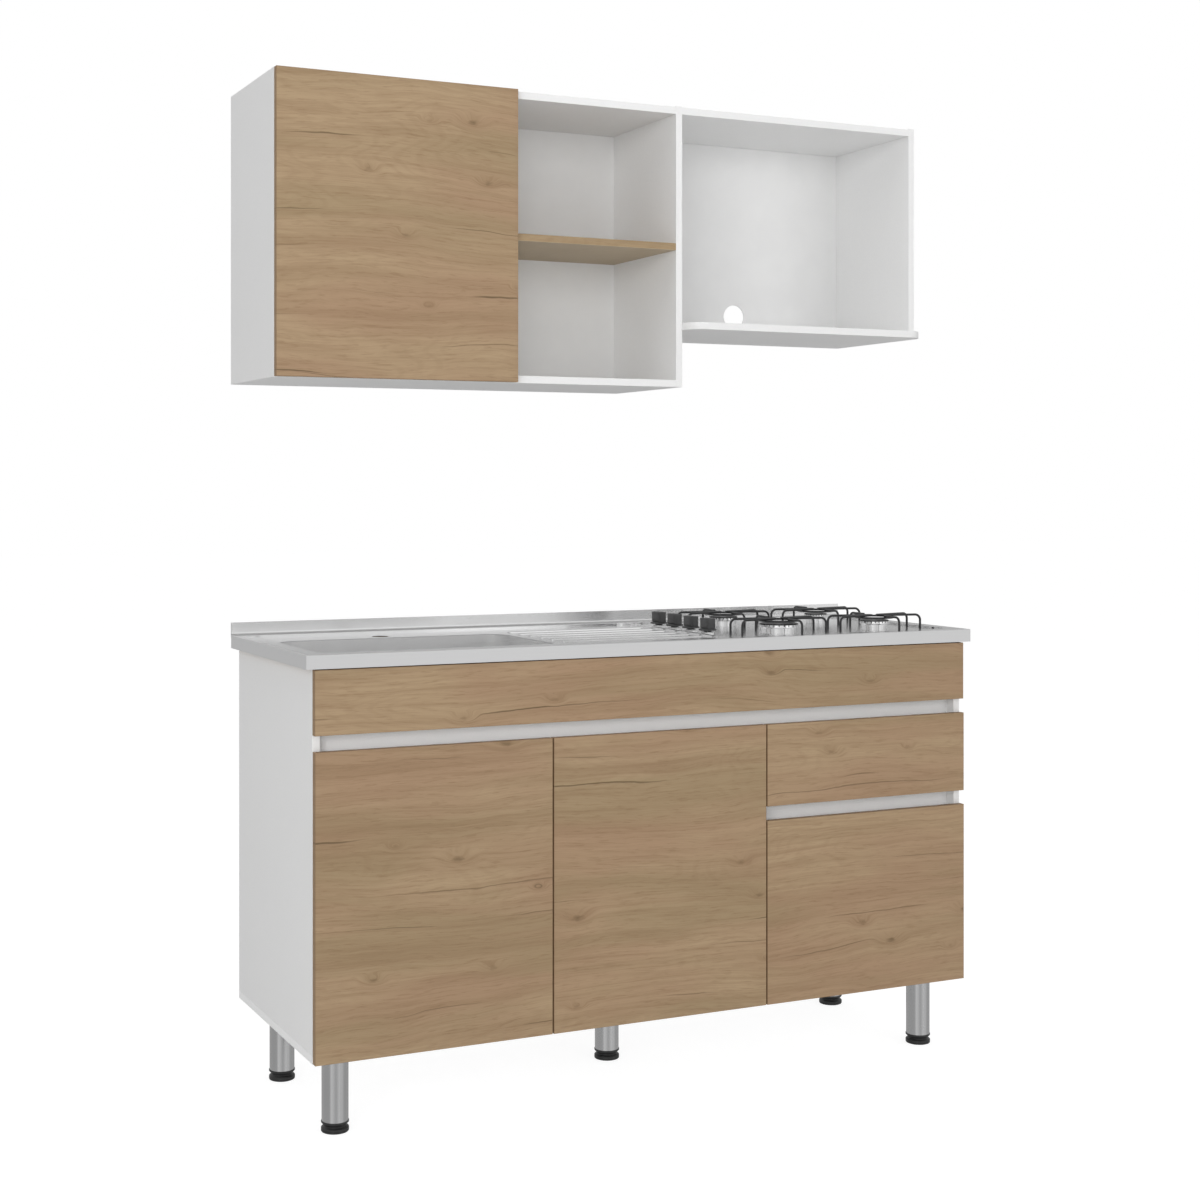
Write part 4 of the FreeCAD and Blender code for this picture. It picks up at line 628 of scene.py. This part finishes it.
# %% Knobs
pointer_paint = moulded("pointer_paint", (0.135, 0.135, 0.137, 1), (0.165, 0.165, 0.167, 1), 0.4)
GRIP = Vector((0.017, 0.036, 0.0222))
GRIP_END = 0.0034
GROOVE = 0.0014
CORE_INSET = 0.004
BODY_ROUND = 1.3 * MM
END_ROUND = 0.9 * MM
CORE_ROUND = 0.4 * MM
POINTER = Vector((0.0024, 0.014, 0.0008))
POINTER_ROUND = 0.3 * MM
POINTER_FROM_CENTRE = 0.0085
KNOB_HEIGHT = 0.029
SKIRT_RISE = 0.0028
STEM_RADIUS = 0.004
HUB_RADIUS = 0.008
KNOB_STEPS = 72
SKIRT_EDGE = [(18.3, 0), (18.9, 0.5), (19, 1.2), (19, 2.2), (18.4, 3.2)]
SKIRT_TOP = [(17, -0.2), (15, 0), (0, 0)]


def knob_shape(low, high, centre):
    """A stem and a skirt, spun, with the three blocks of the grip on them."""
    hub_floor = high.z - KNOB_HEIGHT
    skirt_floor = hub_floor + SKIRT_RISE
    grip_floor = high.z - GRIP.z
    stem = [(0, low.z), (STEM_RADIUS, low.z), (STEM_RADIUS, hub_floor), (HUB_RADIUS, hub_floor),
            (HUB_RADIUS, skirt_floor)]
    skirt = [(radius, skirt_floor + height) for radius, height in in_metres(SKIRT_EDGE)]
    skirt += [(radius, grip_floor + height) for radius, height in in_metres(SKIRT_TOP)]
    knob = bmesh.new()
    spin_into(knob, stem + skirt, (centre.x, centre.y, 0), KNOB_STEPS)
    front = centre.y - GRIP.y / 2
    level = grip_floor + GRIP.z / 2
    body_length = GRIP.y - GRIP_END - GROOVE
    body_middle = front + GRIP.y - body_length / 2
    block_into(knob, (GRIP.x, body_length, GRIP.z), (centre.x, body_middle, level), BODY_ROUND)
    block_into(knob, (GRIP.x, GRIP_END, GRIP.z), (centre.x, front + GRIP_END / 2, level), END_ROUND)
    core_size = (GRIP.x - CORE_INSET, GRIP_END + GROOVE, GRIP.z - CORE_INSET)
    block_into(knob, core_size, (centre.x, front + GRIP_END + GROOVE / 2, level), CORE_ROUND)
    return knob


for number in (1, 2, 3, 4):
    low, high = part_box(f"knob_{number}")
    centre = (low + high) / 2
    knob = knob_shape(low, high, centre)
    piece = close_piece(f"moulded_knob_{number}", knob, knob_plastic, f"knob_{number}_body")
    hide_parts(f"knob_{number}")
    pointer = bmesh.new()
    pointer_spot = (centre.x, centre.y - POINTER_FROM_CENTRE, high.z)
    block_into(pointer, POINTER, pointer_spot, POINTER_ROUND, 2)
    mark = close_piece(f"knob_pointer_{number}", pointer, pointer_paint, f"knob_{number}_body")
print("knobs: 4, grips", tuple(round(side, 4) for side in GRIP))

# %% [markdown]
# The hinges and leg plates are held by small domed screws with a recess for the driver.
# A screw is one spun profile, turned so that its head faces away from what it holds.
# The hinge cups move with their doors, so each door carries its own screws.

# %% Screws
SCREW_HEAD = [(0, -1.0), (1.1, -1.0), (1.5, 0.62), (2.4, 0.42), (3.2, 0.0), (3.3, -0.3), (0, -0.3)]
HINGE_FROM_END = 0.090
CUP_INSET = 0.0195
CUP_SCREW_REACH = 0.0217
PLATE_SCREW_REACH = 0.011
LEG_SCREW_REACH = 0.027
LEG_PLATE = 0.003
SCREW_STEPS = 20
# Each turn brings an upright axis round to face a side.
turns = {
    "back": Matrix.Rotation(math.radians(-90), 3, "X"), "down": Matrix.Rotation(math.radians(180), 3, "X"),
    "right": Matrix.Rotation(math.radians(90), 3, "Y"), "left": Matrix.Rotation(math.radians(-90), 3, "Y"),
}


def turned_into(shape, profile, spot, facing, steps):
    """A small spun part whose seat is at a spot and whose axis looks towards a side."""
    before = set(shape.verts)
    spin_into(shape, in_metres(profile), (0, 0, 0), steps)
    fresh = [vert for vert in shape.verts if vert not in before]
    bmesh.ops.rotate(shape, verts=fresh, cent=(0, 0, 0), matrix=turns[facing])
    bmesh.ops.translate(shape, verts=fresh, vec=spot)


# Each door has its body, the side of its hinges, -1 left or 1 right, and the board that carries them.
hinged = {
    "door_left": ("left_door", -1, "base_left_side"), "door_middle": ("middle_door", 1, "base_partition"),
    "door_right": ("right_door", 1, "base_right_side"), "wall_door": ("cupboard_door", -1, "wall_left_side"),
}
HINGE_PLATE = 0.0025
PLATE_DEPTH = 0.031
fixed_screws = bmesh.new()
for name, (body, side, wall) in hinged.items():
    low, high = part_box(name)
    wall_low, wall_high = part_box(wall)
    cup_x = low.x + CUP_INSET if side < 0 else high.x - CUP_INSET
    wall_x = wall_high.x + HINGE_PLATE if side < 0 else wall_low.x - HINGE_PLATE
    flange_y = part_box(f"{name}_hinge_cups")[1].y
    cup_screws = bmesh.new()
    for level in (low.z + HINGE_FROM_END, high.z - HINGE_FROM_END):
        for way in (-1, 1):
            cup_spot = (cup_x, flange_y, level + way * CUP_SCREW_REACH)
            turned_into(cup_screws, SCREW_HEAD, cup_spot, "back", SCREW_STEPS)
            plate_spot = (wall_x, high.y + PLATE_DEPTH, level + way * PLATE_SCREW_REACH)
            facing = "right" if side < 0 else "left"
            turned_into(fixed_screws, SCREW_HEAD, plate_spot, facing, SCREW_STEPS)
    close_piece(f"{name}_cup_screws", cup_screws, hardware_steel, body)
plate_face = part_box("base_bottom_panel")[0].z - LEG_PLATE
for x, y in leg_spots:
    for step_x in (-LEG_SCREW_REACH, LEG_SCREW_REACH):
        for step_y in (-LEG_SCREW_REACH, LEG_SCREW_REACH):
            leg_spot = (x + step_x, y + step_y, plate_face)
            turned_into(fixed_screws, SCREW_HEAD, leg_spot, "down", SCREW_STEPS)
screws_piece = close_piece("fixed_screws", fixed_screws, hardware_steel, "kitchen")
print("fixed screws with", len(screws_piece.data.polygons), "faces")

# %% [markdown]
# A door closes softly because two small clear pads stop it just before it meets the carcass.
# They sit on the door's inner face, at the corners away from the hinges.

# %% Door pads
pad_plastic = moulded("pad_plastic", (0.62, 0.62, 0.60, 1), (0.70, 0.70, 0.68, 1), 0.3)
PAD = [(0, 0), (4.0, 0), (4.0, 0.7), (3.6, 1.2), (2.6, 1.5), (0, 1.5)]
PAD_FROM_EDGE = 0.013
PAD_FROM_END = 0.0068
PAD_STEPS = 32
for name, (body, side, _) in hinged.items():
    low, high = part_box(name)
    pad_x = high.x - PAD_FROM_EDGE if side < 0 else low.x + PAD_FROM_EDGE
    pads = bmesh.new()
    for level in (low.z + PAD_FROM_END, high.z - PAD_FROM_END):
        turned_into(pads, PAD, (pad_x, high.y, level), "back", PAD_STEPS)
    close_piece(f"{name}_pads", pads, pad_plastic, body)
print("door pads on", len(hinged), "doors")

# %% [markdown]
# The studio is a wide pale floor, a soft white surround and three large soft lamps.
# The background looks white because camera rays see a white world and mostly white paper,
# while the light that falls on the object stays at a plain level and the floor keeps a soft shadow.
# Mirrored rays pass the floor by and see the room that the world makes.

# %% Floor
FLOOR_SIZE = 60.0
PAPER = (0.86, 0.86, 0.86, 1)
PAPER_SHARE = 0.35
PAPER_GLOW = 1.33
WHITE_LIGHT = (1, 1, 1, 1)
floor_mesh = bpy.data.meshes.new("floor")
floor_shape = bmesh.new()
bmesh.ops.create_grid(floor_shape, x_segments=1, y_segments=1, size=FLOOR_SIZE / 2)
floor_shape.to_mesh(floor_mesh)
floor_shape.free()
floor = bpy.data.objects.new("floor", floor_mesh)
bpy.context.scene.collection.objects.link(floor)
floor.visible_glossy = False
paper = Finish("floor_paper")
paper.set(Base_Color=PAPER, Roughness=0.9, Specular_IOR_Level=0.1)
seen = paper.add("ShaderNodeLightPath", output="Is Camera Ray")
glow = paper.add("ShaderNodeEmission", None, {"Color": WHITE_LIGHT, "Strength": PAPER_GLOW})
mixed = paper.add("ShaderNodeMixShader", None, {
    0: seen * (1 - PAPER_SHARE), 1: Pattern(paper, paper.shader.outputs[0]), 2: glow})
paper.feed(paper.tree.nodes["Material Output"].inputs["Surface"], mixed)
floor_mesh.materials.append(paper.material)
print("floor", FLOOR_SIZE, "m wide")

# %% [markdown]
# Metal only shows what it mirrors, so a metal part needs something to mirror.
# Here mirrored rays see a grey room whose front is bright, parted by a darker pier, with a narrow pane
# on the right and a wide one on the left. Behind, the wall darkens to the right under a bright ceiling.

# %% World
AMBIENT = 0.44
ROOM_GREY = 0.62
# Each part of the front has a bearing, a half width and a softness in degrees, then a brightness.
FRONT_PARTS = {
    "right pane": (22.9, 1.6, 0.8, 0.38), "left pane": (-50, 9, 4, 0.35),
    "right frame": (26.2, 0.7, 0.5, -0.36), "dim stretch": (32, 2, 1, -0.15),
    "bright front": (5, 50, 16, 0.32), "pier": (-10, 13, 8, -0.24),
}
world = bpy.data.worlds.new("studio")
bpy.context.scene.world = world
world.use_nodes = True
studio = Network(world.node_tree)
right, inward, up = studio.parts(studio.add("ShaderNodeTexCoord", output="Generated"))
bearing = right.math("ARCTAN2", right, inward * -1)


def window(degrees, half_width, softness):
    """1 inside an upright strip of the room at a bearing from the front, 0 outside it."""
    away = abs(bearing - math.radians(degrees))
    return 1 - away.ramp(math.radians(half_width - softness), math.radians(half_width + softness))


front_wall = sum(window(*place) * brightness for *place, brightness in FRONT_PARTS.values())
low_enough = 1 - abs(up).ramp(0.45, 0.75)
ceiling = up.ramp(0.45, 0.8) * 0.05
ceiling_light = up.ramp(0.56, 0.66) * inward.ramp(0.02, 0.2) * 0.42
back_wall = inward.ramp(0.3, 0.7) * right.ramp(-0.1, 0.2) * -0.16
room = ROOM_GREY + front_wall * low_enough + ceiling + back_wall + ceiling_light
mirrored = studio.add("ShaderNodeBackground", None, {"Color": room, "Strength": 1.0})
white = studio.add("ShaderNodeBackground", None, {"Color": WHITE_LIGHT, "Strength": 1.0})
soft = studio.add("ShaderNodeBackground", None, {"Color": WHITE_LIGHT, "Strength": AMBIENT})
glossy = studio.add("ShaderNodeLightPath", output="Is Glossy Ray")
to_camera = studio.add("ShaderNodeLightPath", output="Is Camera Ray")
lit = studio.add("ShaderNodeMixShader", None, {0: glossy, 1: soft, 2: mirrored})
shown = studio.add("ShaderNodeMixShader", None, {0: to_camera, 1: lit, 2: white})
studio.feed(world.node_tree.nodes["World Output"].inputs["Surface"], shown)
print("world strength", AMBIENT)

# %% [markdown]
# Three large lamps give soft shadows: the left one is the main light, the right one fills in,
# and the one above lights shelves and worktop. Mirrored rays pass them by, so no lamp shows in metal.

# %% Lamps
LAMP_TARGET = Vector((0, 0, 1.1))


def soft_lamp(name, place, energy, width, height):
    lamp = bpy.data.lights.new(name, "AREA")
    lamp.energy = energy
    lamp.shape = "RECTANGLE"
    lamp.size = width
    lamp.size_y = height
    holder = bpy.data.objects.new(name, lamp)
    holder.location = place
    holder.rotation_euler = (LAMP_TARGET - Vector(place)).to_track_quat("-Z", "Y").to_euler()
    holder.visible_glossy = False
    bpy.context.scene.collection.objects.link(holder)


soft_lamp("lamp_left", (-4.0, -5.12, 2.0), 136, 3.0, 2.6)
soft_lamp("lamp_right", (2.54, -5.98, 2.0), 58, 3.0, 2.6)
soft_lamp("lamp_above", (0.0, -0.6, 4.6), 55, 4.0, 3.0)
print("three soft lamps")

# %% [markdown]
# The camera stands where the photograph was taken from: out past the kitchen's left end and turned
# towards it, at the height of the gap between the units. It looks level, which keeps upright lines
# upright, and the picture is shifted to hold the whole kitchen.

# %% Camera
CAMERA_PLACE = (-1.7872, -3.5769, 1.2157)
CAMERA_TURN = -25.16
camera_data = bpy.data.cameras.new("camera")
camera_data.sensor_width = 36
camera_data.lens = 56.33
camera_data.shift_x = 0.0308
camera_data.shift_y = -0.0938
camera = bpy.data.objects.new("camera", camera_data)
camera.location = CAMERA_PLACE
camera.rotation_euler = (math.radians(90), 0, math.radians(CAMERA_TURN))
bpy.context.scene.collection.objects.link(camera)
bpy.context.scene.camera = camera
bpy.context.scene.view_settings.view_transform = "Standard"
print("camera at", tuple(camera.location))
